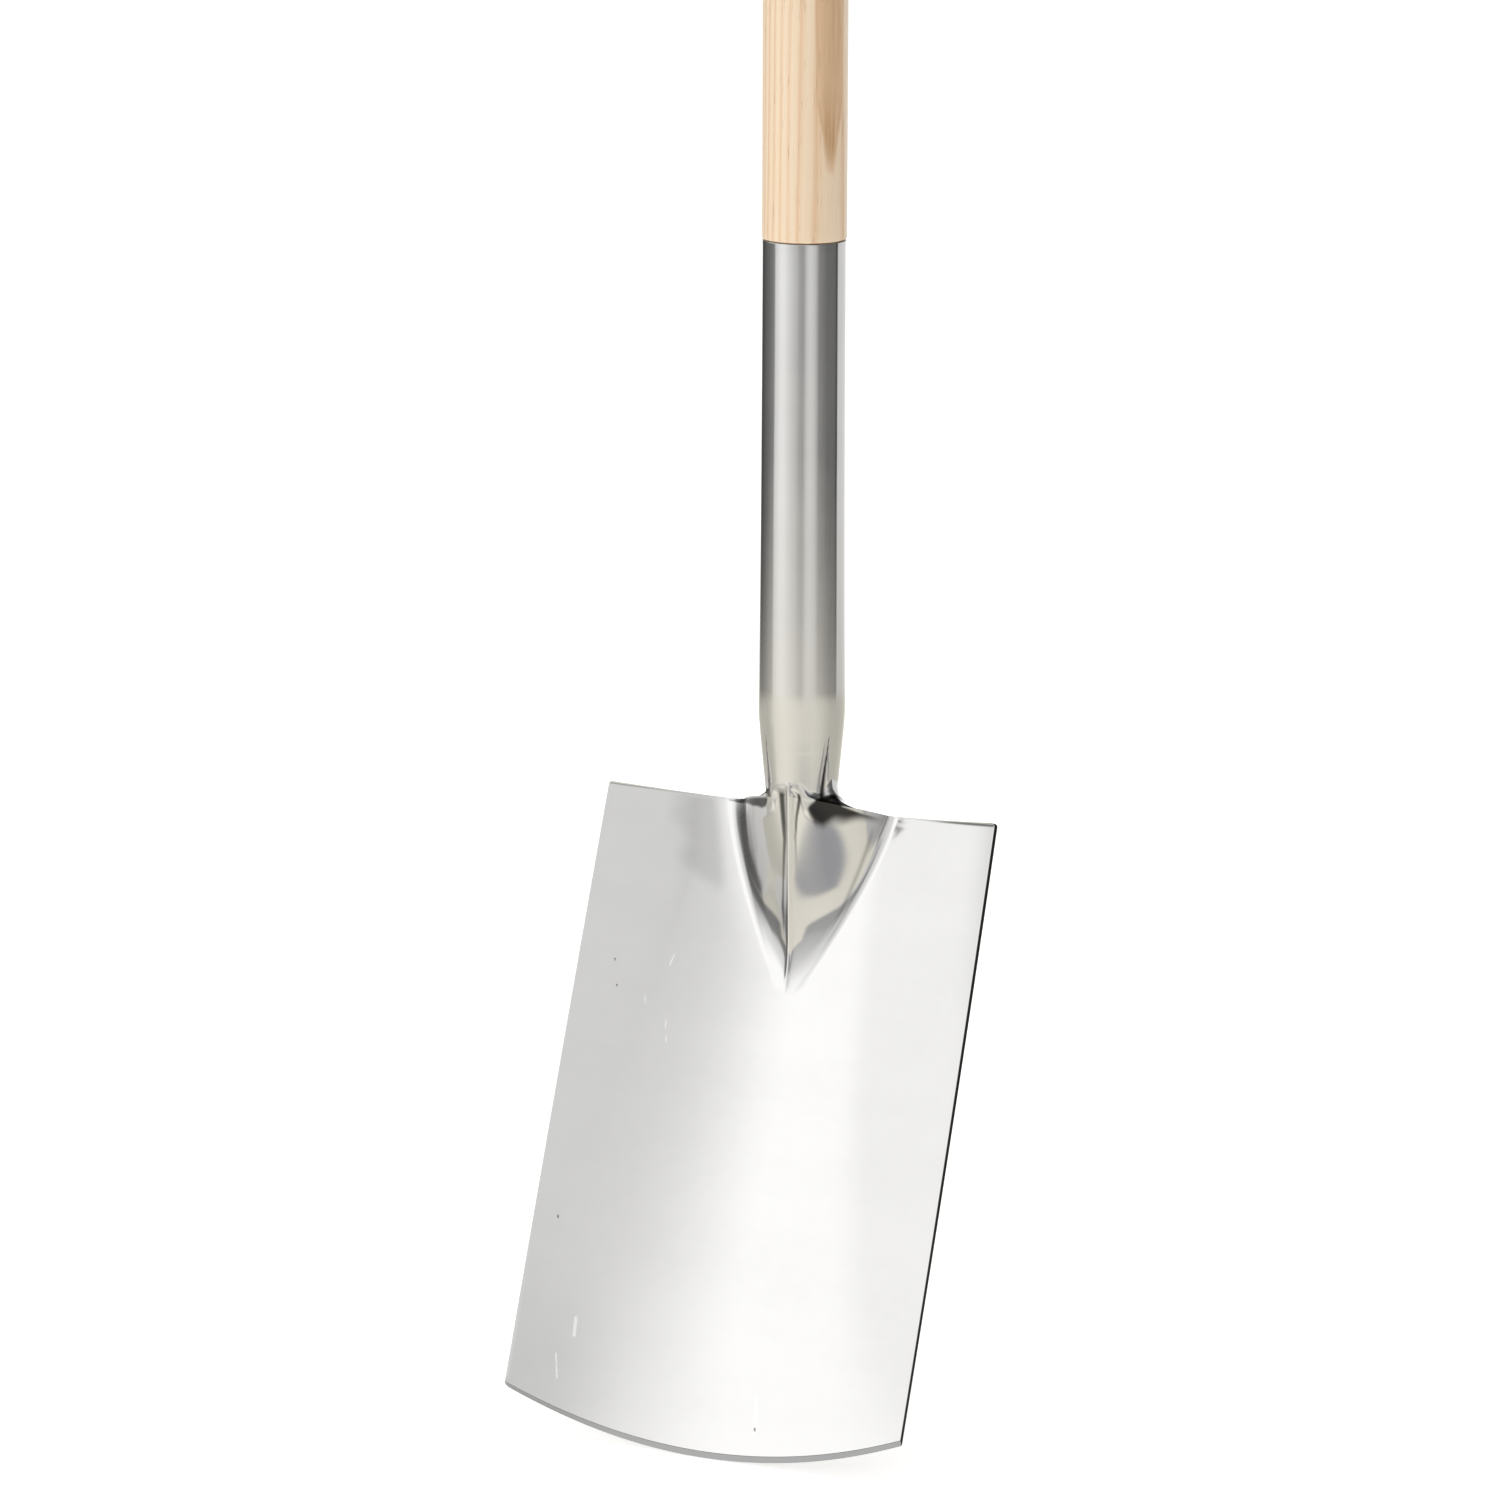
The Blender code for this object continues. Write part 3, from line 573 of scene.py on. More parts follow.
def surface_net(field, lo, hi, cell, turns=6):
    """Vertices and quads of the zero surface of field in the box, pulled onto the surface."""
    axes = [np.arange(lo[i], hi[i] + cell, cell) for i in range(3)]
    gx, gy, gz = np.meshgrid(*axes, indexing="ij")
    val = field(np.c_[gx.ravel(), gy.ravel(), gz.ravel()]).reshape(gx.shape)
    inside = val < 0
    nx, ny, nz = val.shape
    total = np.zeros((nx - 1, ny - 1, nz - 1, 3))
    count = np.zeros((nx - 1, ny - 1, nz - 1))
    for axis in range(3):
        a = [slice(None)] * 3
        b = [slice(None)] * 3
        a[axis], b[axis] = slice(0, -1), slice(1, None)
        va, vb = val[tuple(a)], val[tuple(b)]
        cross = (va < 0) != (vb < 0)
        f = np.where(cross, va / np.where(cross, va - vb, 1), 0)
        points = np.stack([g[tuple(a)] for g in (gx, gy, gz)], -1).astype(float)
        points[..., axis] += f * cell
        others = [i for i in range(3) if i != axis]
        for i in (0, 1):
            for j in (0, 1):
                cut = [slice(None)] * 3
                cut[others[0]] = slice(i, cross.shape[others[0]] - 1 + i)
                cut[others[1]] = slice(j, cross.shape[others[1]] - 1 + j)
                c = cross[tuple(cut)]
                total += points[tuple(cut)] * c[..., None]
                count += c
    active = count > 0
    index = -np.ones(active.shape, int)
    index[active] = np.arange(active.sum())
    verts = total[active] / count[active][:, None]
    quads = []
    for axis in range(3):
        a = [slice(1, -1)] * 3
        b = [slice(1, -1)] * 3
        a[axis], b[axis] = slice(0, -1), slice(1, None)
        ia, ib = inside[tuple(a)], inside[tuple(b)]
        cells = np.argwhere(ia != ib)
        flipped = ia[tuple(cells.T)]
        cells = cells + np.array([0 if i == axis else 1 for i in range(3)])
        o1, o2 = [i for i in range(3) if i != axis]
        e1, e2 = np.eye(3, dtype=int)[o1], np.eye(3, dtype=int)[o2]
        corners = [cells, cells - e1, cells - e1 - e2, cells - e2]
        ids = np.stack([index[tuple(c.T)] for c in corners], 1)
        if axis == 1:
            flipped = ~flipped
        ids[~flipped] = ids[~flipped][:, ::-1]
        quads.append(ids)
    quads = np.concatenate(quads)
    h = 0.05 * cell
    for _ in range(turns):
        base = field(verts)
        grad = np.stack([(field(verts + h * e) - field(verts - h * e)) / (2 * h) for e in np.eye(3)], 1)
        verts = verts - grad * (base / np.maximum((grad ** 2).sum(1), 1e-6))[:, None].clip(-cell, cell)
    return verts, quads


def shaft_mesh():
    cut = 300 * MM
    verts, quads = surface_net(handle_field, (-68 * MM, -21 * MM, cut - 3 * MM), (68 * MM, 21 * MM, 502 * MM), 1.5 * MM)
    bm = bmesh.new()
    vs = [bm.verts.new(tuple(v)) for v in verts]
    for q in quads:
        if len(set(q)) == 4 and min(q) >= 0:
            bm.faces.new([vs[i] for i in q])
    bmesh.ops.bisect_plane(bm, geom=bm.verts[:] + bm.edges[:] + bm.faces[:], plane_co=(0, 0, cut), plane_no=(0, 0, -1), clear_outer=True, dist=1e-6)
    steps = [(cut / MM, 18.3), (150, 18.3), (60, 18.3), (1.6, 18.3), (1.0, 18.22), (0.55, 18.0), (0.3, 17.7), (0.3, 16.25), (-90, 16.25), (-176, 16.25), (-187, 14.8), (-190, 12.2)]
    fine = []
    for (z0, r0), (z1, r1) in zip(steps, steps[1:]):
        n = 40 if z0 - z1 > 100 and z0 > 100 else 12 if z0 - z1 > 30 else 1
        fine += [(z0 + (z1 - z0) * k / n, r0 + (r1 - r0) * k / n) for k in range(n)]
    fine.append(steps[-1])
    count = 128
    rings = [[bm.verts.new((r * MM * math.cos(math.tau * i / count), r * MM * math.sin(math.tau * i / count), z * MM)) for i in range(count)] for z, r in fine]
    for a, b in zip(rings, rings[1:]):
        for i in range(count):
            j = (i + 1) % count
            bm.faces.new((a[i], b[i], b[j], a[j]))
    hub = bm.verts.new((0, 0, -190 * MM))
    for i in range(count):
        bm.faces.new((rings[-1][i], hub, rings[-1][(i + 1) % count]))
    bm.edges.ensure_lookup_table()
    seam = [e for e in bm.edges if e.is_boundary and all(abs(v.co.z - cut) < 1e-5 for v in e.verts)]
    bmesh.ops.bridge_loops(bm, edges=seam)
    bmesh.ops.remove_doubles(bm, verts=bm.verts, dist=1e-7)
    bmesh.ops.recalc_face_normals(bm, faces=bm.faces)
    bmesh.ops.translate(bm, vec=Vector(ORIGIN), verts=bm.verts)
    mesh = bpy.data.meshes.new("ash_shaft")
    bm.to_mesh(mesh)
    bm.free()
    mesh.shade_smooth()
    mesh.set_sharp_from_angle(angle=math.radians(45))
    return mesh


def lathe(name, points, axis, centre, count=96, sharp=35.0):
    """A turned piece: (radius, height) down its outer side, about X, Y or Z."""
    rings, verts, faces = [], [], []
    for r, z in points:
        if r < 1e-7:
            rings.append([len(verts)])
            verts.append((0, 0, z))
        else:
            rings.append(list(range(len(verts), len(verts) + count)))
            verts += [(r * math.cos(math.tau * i / count), r * math.sin(math.tau * i / count), z) for i in range(count)]
    for a, b in zip(rings, rings[1:]):
        for i in range(count):
            j = (i + 1) % count
            if len(a) == 1 and len(b) > 1:
                faces.append((a[0], b[i], b[j]))
            elif len(b) == 1 and len(a) > 1:
                faces.append((a[i], b[0], a[j]))
            elif len(a) > 1:
                faces.append((a[i], b[i], b[j], a[j]))
    verts = np.array(verts, float)
    if axis == "X":
        verts = verts[:, [2, 1, 0]] * np.array([1, -1, 1])
    elif axis == "Y":
        verts = verts[:, [0, 2, 1]] * np.array([1, 1, -1])
    return mesh_from(name, verts + np.array(centre) + ORIGIN, faces, sharp)


def dome(radius, height, face, steps=14):
    return [(radius * math.sin(math.pi / 2 * k / steps) ** 0.9 if k else 0.0, face + height * math.cos(math.pi / 2 * k / steps)) for k in range(steps + 1)]


def both(points):
    return points + [(r, -z) for r, z in reversed(points)]


# ------------------------------------------------------------------ node helpers
class Graph:
    """A short way to build a node tree."""

    def __init__(self, tree):
        self.tree = tree
        self.tree.nodes.clear()

    def node(self, kind, **settings):
        n = self.tree.nodes.new(kind)
        for k, v in settings.items():
            setattr(n, k, v)
        return n

    def feed(self, socket, value):
        if isinstance(value, bpy.types.NodeSocket):
            self.tree.links.new(value, socket)
        else:
            socket.default_value = value

    def math(self, op, a, b=None, c=None, clamp=False):
        n = self.node("ShaderNodeMath", operation=op, use_clamp=clamp)
        for i, v in enumerate((a, b, c)):
            if v is not None:
                self.feed(n.inputs[i], v)
        return n.outputs[0]

    def vmath(self, op, a, b=None):
        n = self.node("ShaderNodeVectorMath", operation=op)
        self.feed(n.inputs[0], a)
        if b is not None:
            self.feed(n.inputs[1], b)
        return n.outputs["Value"] if op in ("DOT_PRODUCT", "LENGTH", "DISTANCE") else n.outputs[0]

    def noise(self, vector, scale, detail=2.0, rough=0.5, distort=0.0):
        n = self.node("ShaderNodeTexNoise")
        self.feed(n.inputs["Vector"], vector)
        n.inputs["Scale"].default_value = scale
        n.inputs["Detail"].default_value = detail
        n.inputs["Roughness"].default_value = rough
        n.inputs["Distortion"].default_value = distort
        return n.outputs["Fac"]

    def ramp(self, value, stops, mode="LINEAR"):
        n = self.node("ShaderNodeValToRGB")
        n.color_ramp.interpolation = mode
        el = n.color_ramp.elements
        while len(el) > 1:
            el.remove(el[-1])
        for i, (p, c) in enumerate(stops):
            e = el[0] if i == 0 else el.new(p)
            e.position = p
            e.color = (c, c, c, 1) if isinstance(c, (int, float)) else (*c, 1)
        self.feed(n.inputs[0], value)
        return n.outputs[0]

    def range(self, value, lo, hi, out_lo=0.0, out_hi=1.0, smooth=True):
        n = self.node("ShaderNodeMapRange", interpolation_type="SMOOTHSTEP" if smooth else "LINEAR")
        self.feed(n.inputs["Value"], value)
        for name, v in (("From Min", lo), ("From Max", hi), ("To Min", out_lo), ("To Max", out_hi)):
            self.feed(n.inputs[name], v)
        return n.outputs["Result"]

    def mix(self, fac, a, b, blend="MIX"):
        n = self.node("ShaderNodeMix", data_type="RGBA", blend_type=blend)
        self.feed(n.inputs[0], fac)
        for socket, v in ((n.inputs[6], a), (n.inputs[7], b)):
            self.feed(socket, (*v, 1) if isinstance(v, tuple) and len(v) == 3 else v)
        return n.outputs[2]

    def bump(self, height, distance, strength=1.0, normal=None):
        n = self.node("ShaderNodeBump")
        n.inputs["Strength"].default_value = strength
        n.inputs["Distance"].default_value = distance
        self.feed(n.inputs["Height"], height)
        if normal is not None:
            self.feed(n.inputs["Normal"], normal)
        return n.outputs[0]


def material(name):
    mat = bpy.data.materials.new(name)
    mat.use_nodes = True
    g = Graph(mat.node_tree)
    shader = g.node("ShaderNodeBsdfPrincipled")
    out = g.node("ShaderNodeOutputMaterial")
    g.tree.links.new(shader.outputs[0], out.inputs[0])
    return mat, g, shader


def stroke(g, coord, a, b, width):
    """1 along the straight scratch from a to b, falling to 0 at width from it."""
    a, b = Vector(a), Vector(b)
    run = b - a
    arm = g.vmath("SUBTRACT", coord, tuple(a))
    part = g.math("MULTIPLY", g.vmath("DOT_PRODUCT", arm, tuple(run)), 1 / run.length_squared, clamp=True)
    ahead = g.node("ShaderNodeVectorMath", operation="SCALE")
    ahead.inputs[0].default_value = tuple(run)
    g.feed(ahead.inputs["Scale"], part)
    return g.range(g.vmath("LENGTH", g.vmath("SUBTRACT", arm, ahead.outputs[0])), 0.2 * width, width, 1.0, 0.0)


# Nicks and scratches of use on the blade, each from one end to the other, in metres.
SCRATCHES = [((-0.0547, 0.0200, 0.2012), (-0.0558, 0.0180, 0.1968), 0.0006), ((-0.0641, 0.0108, 0.1835), (-0.0636, 0.0099, 0.1808), 0.0006),
             ((-0.0531, 0.0097, 0.1741), (-0.0528, 0.0085, 0.1709), 0.0005), ((-0.0518, 0.0074, 0.1675), (-0.0515, 0.0066, 0.1655), 0.0005),
             ((-0.0695, -0.0422, 0.0499), (-0.0690, -0.0449, 0.0428), 0.0011), ((-0.0757, -0.0491, 0.0348), (-0.0733, -0.0526, 0.0249), 0.0005),
             ((0.0214, -0.0458, 0.0279), (0.0235, -0.0527, 0.0118), 0.0007)]
NICKS = [((-0.0797, 0.0118, 0.1984), (-0.0796, 0.0115, 0.1978), 0.0007), ((-0.0771, 0.0087, 0.1876), (-0.0770, 0.0085, 0.1872), 0.0006),
         ((-0.0854, -0.0298, 0.0911), (-0.0852, -0.0300, 0.0904), 0.0007), ((0.0232, -0.0512, 0.0150), (0.0234, -0.0515, 0.0142), 0.0007)]


def steel(name, tint, rough, lines, pits=0.5, wave=1.0, worn=False):
    """Buffed stainless: faint drawn lines along the length, soft waviness, and a few small pits."""
    mat, g, shader = material(name)
    coord = g.node("ShaderNodeTexCoord").outputs["Object"]
    fine = g.vmath("MULTIPLY", coord, (1.0, 1.0, 0.02))
    drawn = g.noise(fine, 2600.0, 2.0, 0.6)
    cross = g.noise(g.vmath("MULTIPLY", coord, (0.03, 0.5, 1.0)), 1900.0, 2.0, 0.6)
    cloud = g.noise(coord, 24.0, 3.0, 0.55)
    haze = g.noise(coord, 160.0, 4.0, 0.6)
    cells = g.node("ShaderNodeTexVoronoi", feature="F1")
    g.feed(cells.inputs["Vector"], coord)
    cells.inputs["Scale"].default_value = 85.0
    rare = g.node("ShaderNodeSeparateColor")
    g.feed(rare.inputs[0], cells.outputs["Color"])
    size = g.range(rare.outputs[0], 1.0 - 0.22 * pits, 1.0, 0.0, 0.05, smooth=False)
    pit = g.math("LESS_THAN", cells.outputs["Distance"], size)
    scratch_field = g.noise(g.vmath("MULTIPLY", coord, (1.0, 1.0, 0.16)), 90.0, 1.0, 0.5, 0.4)
    scratch = g.range(g.math("ABSOLUTE", g.math("SUBTRACT", scratch_field, 0.5)), 0.0, 0.0016, 1.0, 0.0)
    scratch = g.math("MULTIPLY", scratch, g.range(haze, 0.56, 0.64))
    shade_patches = g.node("ShaderNodeAttribute", attribute_name="painted_shade_and_patches").outputs["Fac"]
    smear = g.noise(g.vmath("MULTIPLY", coord, (0.22, 1.0, 1.0)), 34.0, 4.0, 0.55)
    r = g.math("MULTIPLY_ADD", drawn, lines * 0.10, rough)
    r = g.math("MULTIPLY_ADD", shade_patches, 0.16, r)
    r = g.math("MULTIPLY_ADD", g.range(cloud, 0.35, 0.75), rough * 0.55, r)
    r = g.math("MULTIPLY_ADD", scratch, 0.12, r)
    r = g.math("MULTIPLY_ADD", pit, 0.4, r, clamp=True)
    g.feed(shader.inputs["Roughness"], r)
    tone = g.math("MULTIPLY_ADD", haze, 0.04, g.math("MULTIPLY_ADD", smear, 0.10, 0.92))
    colour = g.mix(1.0, tint, g.ramp(tone, [(0.0, 0.0), (1.0, 1.0)]), "MULTIPLY")
    colour = g.mix(g.math("MULTIPLY", pit, 0.8), colour, (0.10, 0.095, 0.09))
    # Painted shade: the polish is darkened to near black where the attribute marks shade, and darkened a little in the
    # patches.
    colour = g.mix(g.math("MULTIPLY", shade_patches, 0.98), colour, (0.040, 0.038, 0.035))
    if worn:
        bright = None
        for a, b, w in SCRATCHES:
            one = stroke(g, coord, a, b, w)
            bright = one if bright is None else g.math("MAXIMUM", bright, one)
        bright = g.math("MULTIPLY", bright, g.range(drawn, 0.35, 0.55, 0.4, 1.0))
        deep = None
        for a, b, w in NICKS:
            one = stroke(g, coord, a, b, w)
            deep = one if deep is None else g.math("MAXIMUM", deep, one)
        colour = g.mix(g.math("MULTIPLY", bright, 0.85), colour, (0.97, 0.97, 0.97))
        colour = g.mix(g.math("MULTIPLY", deep, 0.85), colour, (0.08, 0.08, 0.078))
        r = g.math("MULTIPLY_ADD", g.math("MAXIMUM", bright, deep), 0.22, r)
        g.feed(shader.inputs["Roughness"], r)
    g.feed(shader.inputs["Base Color"], colour)
    shader.inputs["Metallic"].default_value = 1.0
    height = g.math("MULTIPLY_ADD", drawn, lines * 0.0006, g.math("MULTIPLY", cross, lines * 0.0003))
    height = g.math("MULTIPLY_ADD", cloud, 0.016 * wave, height)
    height = g.math("MULTIPLY_ADD", haze, 0.0009 * wave, height)
    height = g.math("MULTIPLY_ADD", pit, -0.03, height)
    height = g.math("MULTIPLY_ADD", scratch, -0.0015, height)
    g.feed(shader.inputs["Normal"], g.bump(height, 0.001))
    return mat


def ash(name, bar=False):
    """Pale lacquered ash: rings cut lengthwise into streaks, open pores as fine dashes along them."""
    mat, g, shader = material(name)
    if bar:
        coord = g.node("ShaderNodeTexCoord").outputs["Object"]
        sep = g.node("ShaderNodeSeparateXYZ")
        g.feed(sep.inputs[0], g.vmath("SUBTRACT", coord, (0.0, AXIS_Y, MOUTH_Z + GRIP_Z)))
        along, a, b = sep.outputs[0], sep.outputs[1], sep.outputs[2]
    else:
        grain = g.node("ShaderNodeAttribute", attribute_name="grain").outputs["Vector"]
        sep = g.node("ShaderNodeSeparateXYZ")
        g.feed(sep.inputs[0], grain)
        along, a, b = sep.outputs[2], sep.outputs[0], sep.outputs[1]
    join = g.node("ShaderNodeCombineXYZ")
    for i, v in enumerate((a, b, along)):
        g.feed(join.inputs[i], v)
    wood = join.outputs[0]
    slow = g.vmath("MULTIPLY", wood, (1.0, 1.0, 0.07))
    drift = g.noise(slow, 70.0, 2.0, 0.5)
    # Rings: wide circles about a heart well outside the piece.
    heart = (-0.907 * 0.085, 0.423 * 0.085, 0.0)
    off = g.vmath("MULTIPLY", g.vmath("SUBTRACT", wood, heart), (1.0, 1.0, 0.0))
    plain = g.vmath("LENGTH", off)
    radius = g.math("ADD", plain, g.math("MULTIPLY", g.math("SUBTRACT", drift, 0.5), 0.0022))
    radius = g.math("MULTIPLY_ADD", along, -0.0105, radius)
    count = g.math("MULTIPLY", g.math("ADD", radius, 0.0003), 1 / 0.0034)
    ring = g.math("FRACT", count)
    number = g.math("FLOOR", count)
    dark = g.ramp(ring, [(0.0, 0.95), (0.07, 0.88), (0.22, 0.45), (0.45, 0.12), (0.78, 0.18), (0.93, 0.66), (1.0, 0.95)])
    vary = g.node("ShaderNodeTexWhiteNoise", noise_dimensions="1D")
    g.feed(vary.inputs["W"], number)
    dark = g.math("MULTIPLY", dark, g.math("MULTIPLY_ADD", vary.outputs["Value"], 0.45, 0.50))
    fibre = g.noise(g.vmath("MULTIPLY", wood, (1.0, 1.0, 0.014)), 1300.0, 3.0, 0.62)
    dark = g.math("ADD", dark, g.math("MULTIPLY", g.math("SUBTRACT", fibre, 0.5), 0.55), clamp=True)
    colour = g.ramp(dark, [(0.0, (0.815, 0.67, 0.50)), (0.3, (0.78, 0.60, 0.41)), (0.65, (0.725, 0.502, 0.312)), (1.0, (0.65, 0.415, 0.23))])
    # One broad tan growth line comes to the surface on the right of the front, in a long pointed tongue.
    ragged = g.noise(g.vmath("MULTIPLY", wood, (1.0, 1.0, 0.05)), 420.0, 3.0, 0.6)
    lift = g.ramp(g.math("MULTIPLY", along, 2.5), [(0.0, 0.0), (0.062, 0.0), (0.078, 0.25), (0.115, 0.42), (0.155, 0.80), (0.28, 0.95), (0.5, 1.0), (0.72, 0.7), (0.83, 0.0), (1.0, 0.0)])
    depth = g.math("SUBTRACT", 0.1033, plain)
    depth = g.math("MULTIPLY_ADD", g.math("SUBTRACT", ragged, 0.5), 0.00035, depth)
    level = g.math("MULTIPLY_ADD", lift, 0.0020, -0.0005)
    rise = g.math("SUBTRACT", level, depth)
    tongue = g.range(rise, -0.00016, 0.00020)
    rim = g.range(g.math("ABSOLUTE", g.math("SUBTRACT", rise, 0.00012)), 0.0, 0.00030, 1.0, 0.0)
    grown = g.math("MULTIPLY_ADD", g.math("SUBTRACT", fibre, 0.5), 1.1, g.math("MULTIPLY_ADD", g.range(rise, 0.0001, 0.0014), 0.50, 0.16), clamp=True)
    streak = g.noise(g.vmath("MULTIPLY", wood, (1.0, 1.0, 0.02)), 360.0, 2.0, 0.5)
    tan = g.mix(grown, (0.72, 0.495, 0.30), (0.53, 0.325, 0.165))
    tan = g.mix(g.range(streak, 0.52, 0.72, 0.0, 0.45), tan, (0.46, 0.27, 0.13))
    colour = g.mix(g.math("MULTIPLY", tongue, 0.9), colour, tan)
    colour = g.mix(g.math("MULTIPLY", g.math("MULTIPLY", rim, 0.22), g.range(along, 0.025, 0.05)), colour, (0.52, 0.31, 0.14))
    tip = g.math("MULTIPLY", g.range(rise, 0.00002, 0.00030), g.range(along, 0.044, 0.070, 1.0, 0.0))
    colour = g.mix(g.math("MULTIPLY", tip, g.range(ragged, 0.35, 0.6, 0.25, 0.9)), colour, (0.44, 0.235, 0.085))
    # Pores, open in the early wood.
    pore_field = g.noise(g.vmath("MULTIPLY", wood, (1.0, 1.0, 0.045)), 2100.0, 1.0, 0.5)
    where = g.ramp(ring, [(0.0, 1.0), (0.20, 0.85), (0.40, 0.3), (0.8, 0.12), (0.92, 0.8), (1.0, 1.0)])
    pore = g.math("MULTIPLY", g.range(pore_field, 0.63, 0.72), where)
    colour = g.mix(g.math("MULTIPLY", pore, 0.55), colour, (0.44, 0.25, 0.115))
    cloud = g.noise(g.vmath("MULTIPLY", wood, (1.0, 1.0, 0.15)), 26.0, 2.0)
    colour = g.mix(g.range(cloud, 0.3, 0.8, 0.0, 0.20), colour, (0.84, 0.62, 0.44))
    g.feed(shader.inputs["Base Color"], colour)
    shader.inputs["Specular IOR Level"].default_value = 0.4
    shader.inputs["Coat Weight"].default_value = 0.35
    shader.inputs["Coat Roughness"].default_value = 0.22
    shader.inputs["Coat IOR"].default_value = 1.5
    g.feed(shader.inputs["Roughness"], g.math("MULTIPLY_ADD", fibre, 0.2, 0.38))
    height = g.math("MULTIPLY_ADD", pore, -0.05, g.math("MULTIPLY", fibre, 0.03))
    height = g.math("MULTIPLY_ADD", ring, 0.01, height)
    bumped = g.bump(height, 0.001)
    g.feed(shader.inputs["Normal"], bumped)
    return mat


BLADE_STEEL = steel("blade_steel", (0.70, 0.695, 0.685), 0.045, 0.6, pits=0.30, wave=1.0, worn=True)
SOCKET_STEEL = steel("socket_steel", (0.68, 0.675, 0.665), 0.05, 0.8, pits=0.55, wave=0.6)
# Near-black steel for the plate's side faces and the top row of the bevel: painted shade for the dark edge lines.
SHADED_EDGE_STEEL = steel("painted_shade_edge_steel", (0.055, 0.054, 0.052), 0.34, 3.0, pits=0.8, wave=0.3)
GROUND_STEEL = steel("ground_edge_steel", (0.47, 0.485, 0.52), 0.24, 2.6, pits=0.3, wave=0.3)
FASTENER_STEEL = steel("fastener_steel", (0.58, 0.575, 0.565), 0.20, 2.2, pits=0.4, wave=0.3)
SHAFT_ASH = ash("lacquered_ash")
BAR_ASH = ash("lacquered_ash_bar", bar=True)


# ------------------------------------------------------------------ pieces
def place_piece(name, mesh, materials, slot, *nodes):
    obj = link(name, mesh)
    for m in materials:
        mesh.materials.append(m)
    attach(obj, "root")
    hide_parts(*nodes)
    return obj


place_piece("blade_pressing", blade_mesh(), [BLADE_STEEL, SHADED_EDGE_STEEL, GROUND_STEEL], "polished_steel", "blade")
place_piece("socket_tube", socket_mesh(), [SOCKET_STEEL], "polished_steel", "socket")
place_piece("closing_plate", cover_mesh(), [SOCKET_STEEL], "polished_steel", "back_plate")

wood = shaft_mesh()
co = np.empty(len(wood.vertices) * 3)
wood.vertices.foreach_get("co", co)
co = co.reshape(-1, 3) - ORIGIN
bend = (arm_x(co[:, 2]) - ARM_X0) * np.sign(co[:, 0]) * np.clip(np.abs(co[:, 0]) / (6 * MM), 0, 1)
co[:, 0] -= bend
attr = wood.attributes.new("grain", "FLOAT_VECTOR", "POINT")
attr.data.foreach_set("vector", co.ravel())
place_piece("ash_shaft", wood, [SHAFT_ASH], "ash", "shaft")

GRIP_X = ARM_X1
bar = both([(0.0, 46.6 * MM), (3.2 * MM, 46.6 * MM), (12.9 * MM, 46.4 * MM), (13.5 * MM, 46.0 * MM), (13.7 * MM, 45.2 * MM)]
           + [((13.7 + 2.3 * math.sin(math.pi / 2 * k / 18)) * MM, 45.0 * MM * math.cos(math.pi / 2 * k / 18)) for k in range(1, 18)])
place_piece("ash_grip_bar", lathe("ash_grip_bar", bar, "X", (0, 0, GRIP_Z)), [BAR_ASH], "ash", "grip_bar")
head = [(r, z) for r, z in dome(3.9 * MM, 2.3 * MM, 64.5 * MM)]
place_piece("grip_pin", lathe("grip_pin", both(head + [(3.6 * MM, 64.4 * MM), (3.0 * MM, 64.3 * MM)]), "X", (0, 0, GRIP_Z), 48), [FASTENER_STEEL], "fastener_steel", "grip_rivet")


def washer(hole, radius, face, back):
    r = 0.3 * MM
    ring = [(hole, back), (hole, face - 0.15 * MM), (hole + 0.15 * MM, face)]
    ring += [(radius - r + r * math.sin(a), face - r + r * math.cos(a)) for a in np.linspace(0, math.pi / 2, 6)]
    ring += [(radius, back), (hole, back)]
    return ring


for side, name in ((-1, "left"), (1, "right")):
    ring = [(r, side * z) for r, z in washer(3.2 * MM, 8.0 * MM, 64.5 * MM, 63.3 * MM)]
    place_piece(f"grip_ring_{name}", lathe(f"grip_ring_{name}", ring, "X", (0, 0, GRIP_Z), 72), [FASTENER_STEEL], "fastener_steel", f"grip_washer_{name}")
    ring = [(r, side * z) for r, z in washer(2.7 * MM, 7.0 * MM, 19.6 * MM, 18.6 * MM)]
    place_piece(f"throat_ring_{name}", lathe(f"throat_ring_{name}", ring, "X", (0, 0, THROAT_RIVET_Z), 72), [FASTENER_STEEL], "fastener_steel", f"throat_washer_{name}")
head = dome(3.4 * MM, 2.0 * MM, 19.6 * MM)
place_piece("throat_pin", lathe("throat_pin", both(head + [(3.1 * MM, 19.5 * MM), (2.5 * MM, 19.4 * MM)]), "X", (0, 0, THROAT_RIVET_Z), 48), [FASTENER_STEEL], "fastener_steel", "throat_rivet")
for node in ("socket_rivet_upper", "socket_rivet_lower"):
    lo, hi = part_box(node)
    z = 0.5 * (lo.z + hi.z) - MOUTH_Z
    back = hi.y - AXIS_Y
    pts = dome(4.7 * MM, 2.1 * MM, back - 2.1 * MM) + [(4.5 * MM, back - 2.3 * MM), (2.2 * MM, back - 2.9 * MM), (2.2 * MM, lo.y - AXIS_Y + 0.4 * MM), (1.8 * MM, lo.y - AXIS_Y), (0.0, lo.y - AXIS_Y)]
    place_piece(node.replace("rivet", "nail"), lathe(node, pts, "Y", (0, 0, z), 48), [FASTENER_STEEL], "fastener_steel", node)


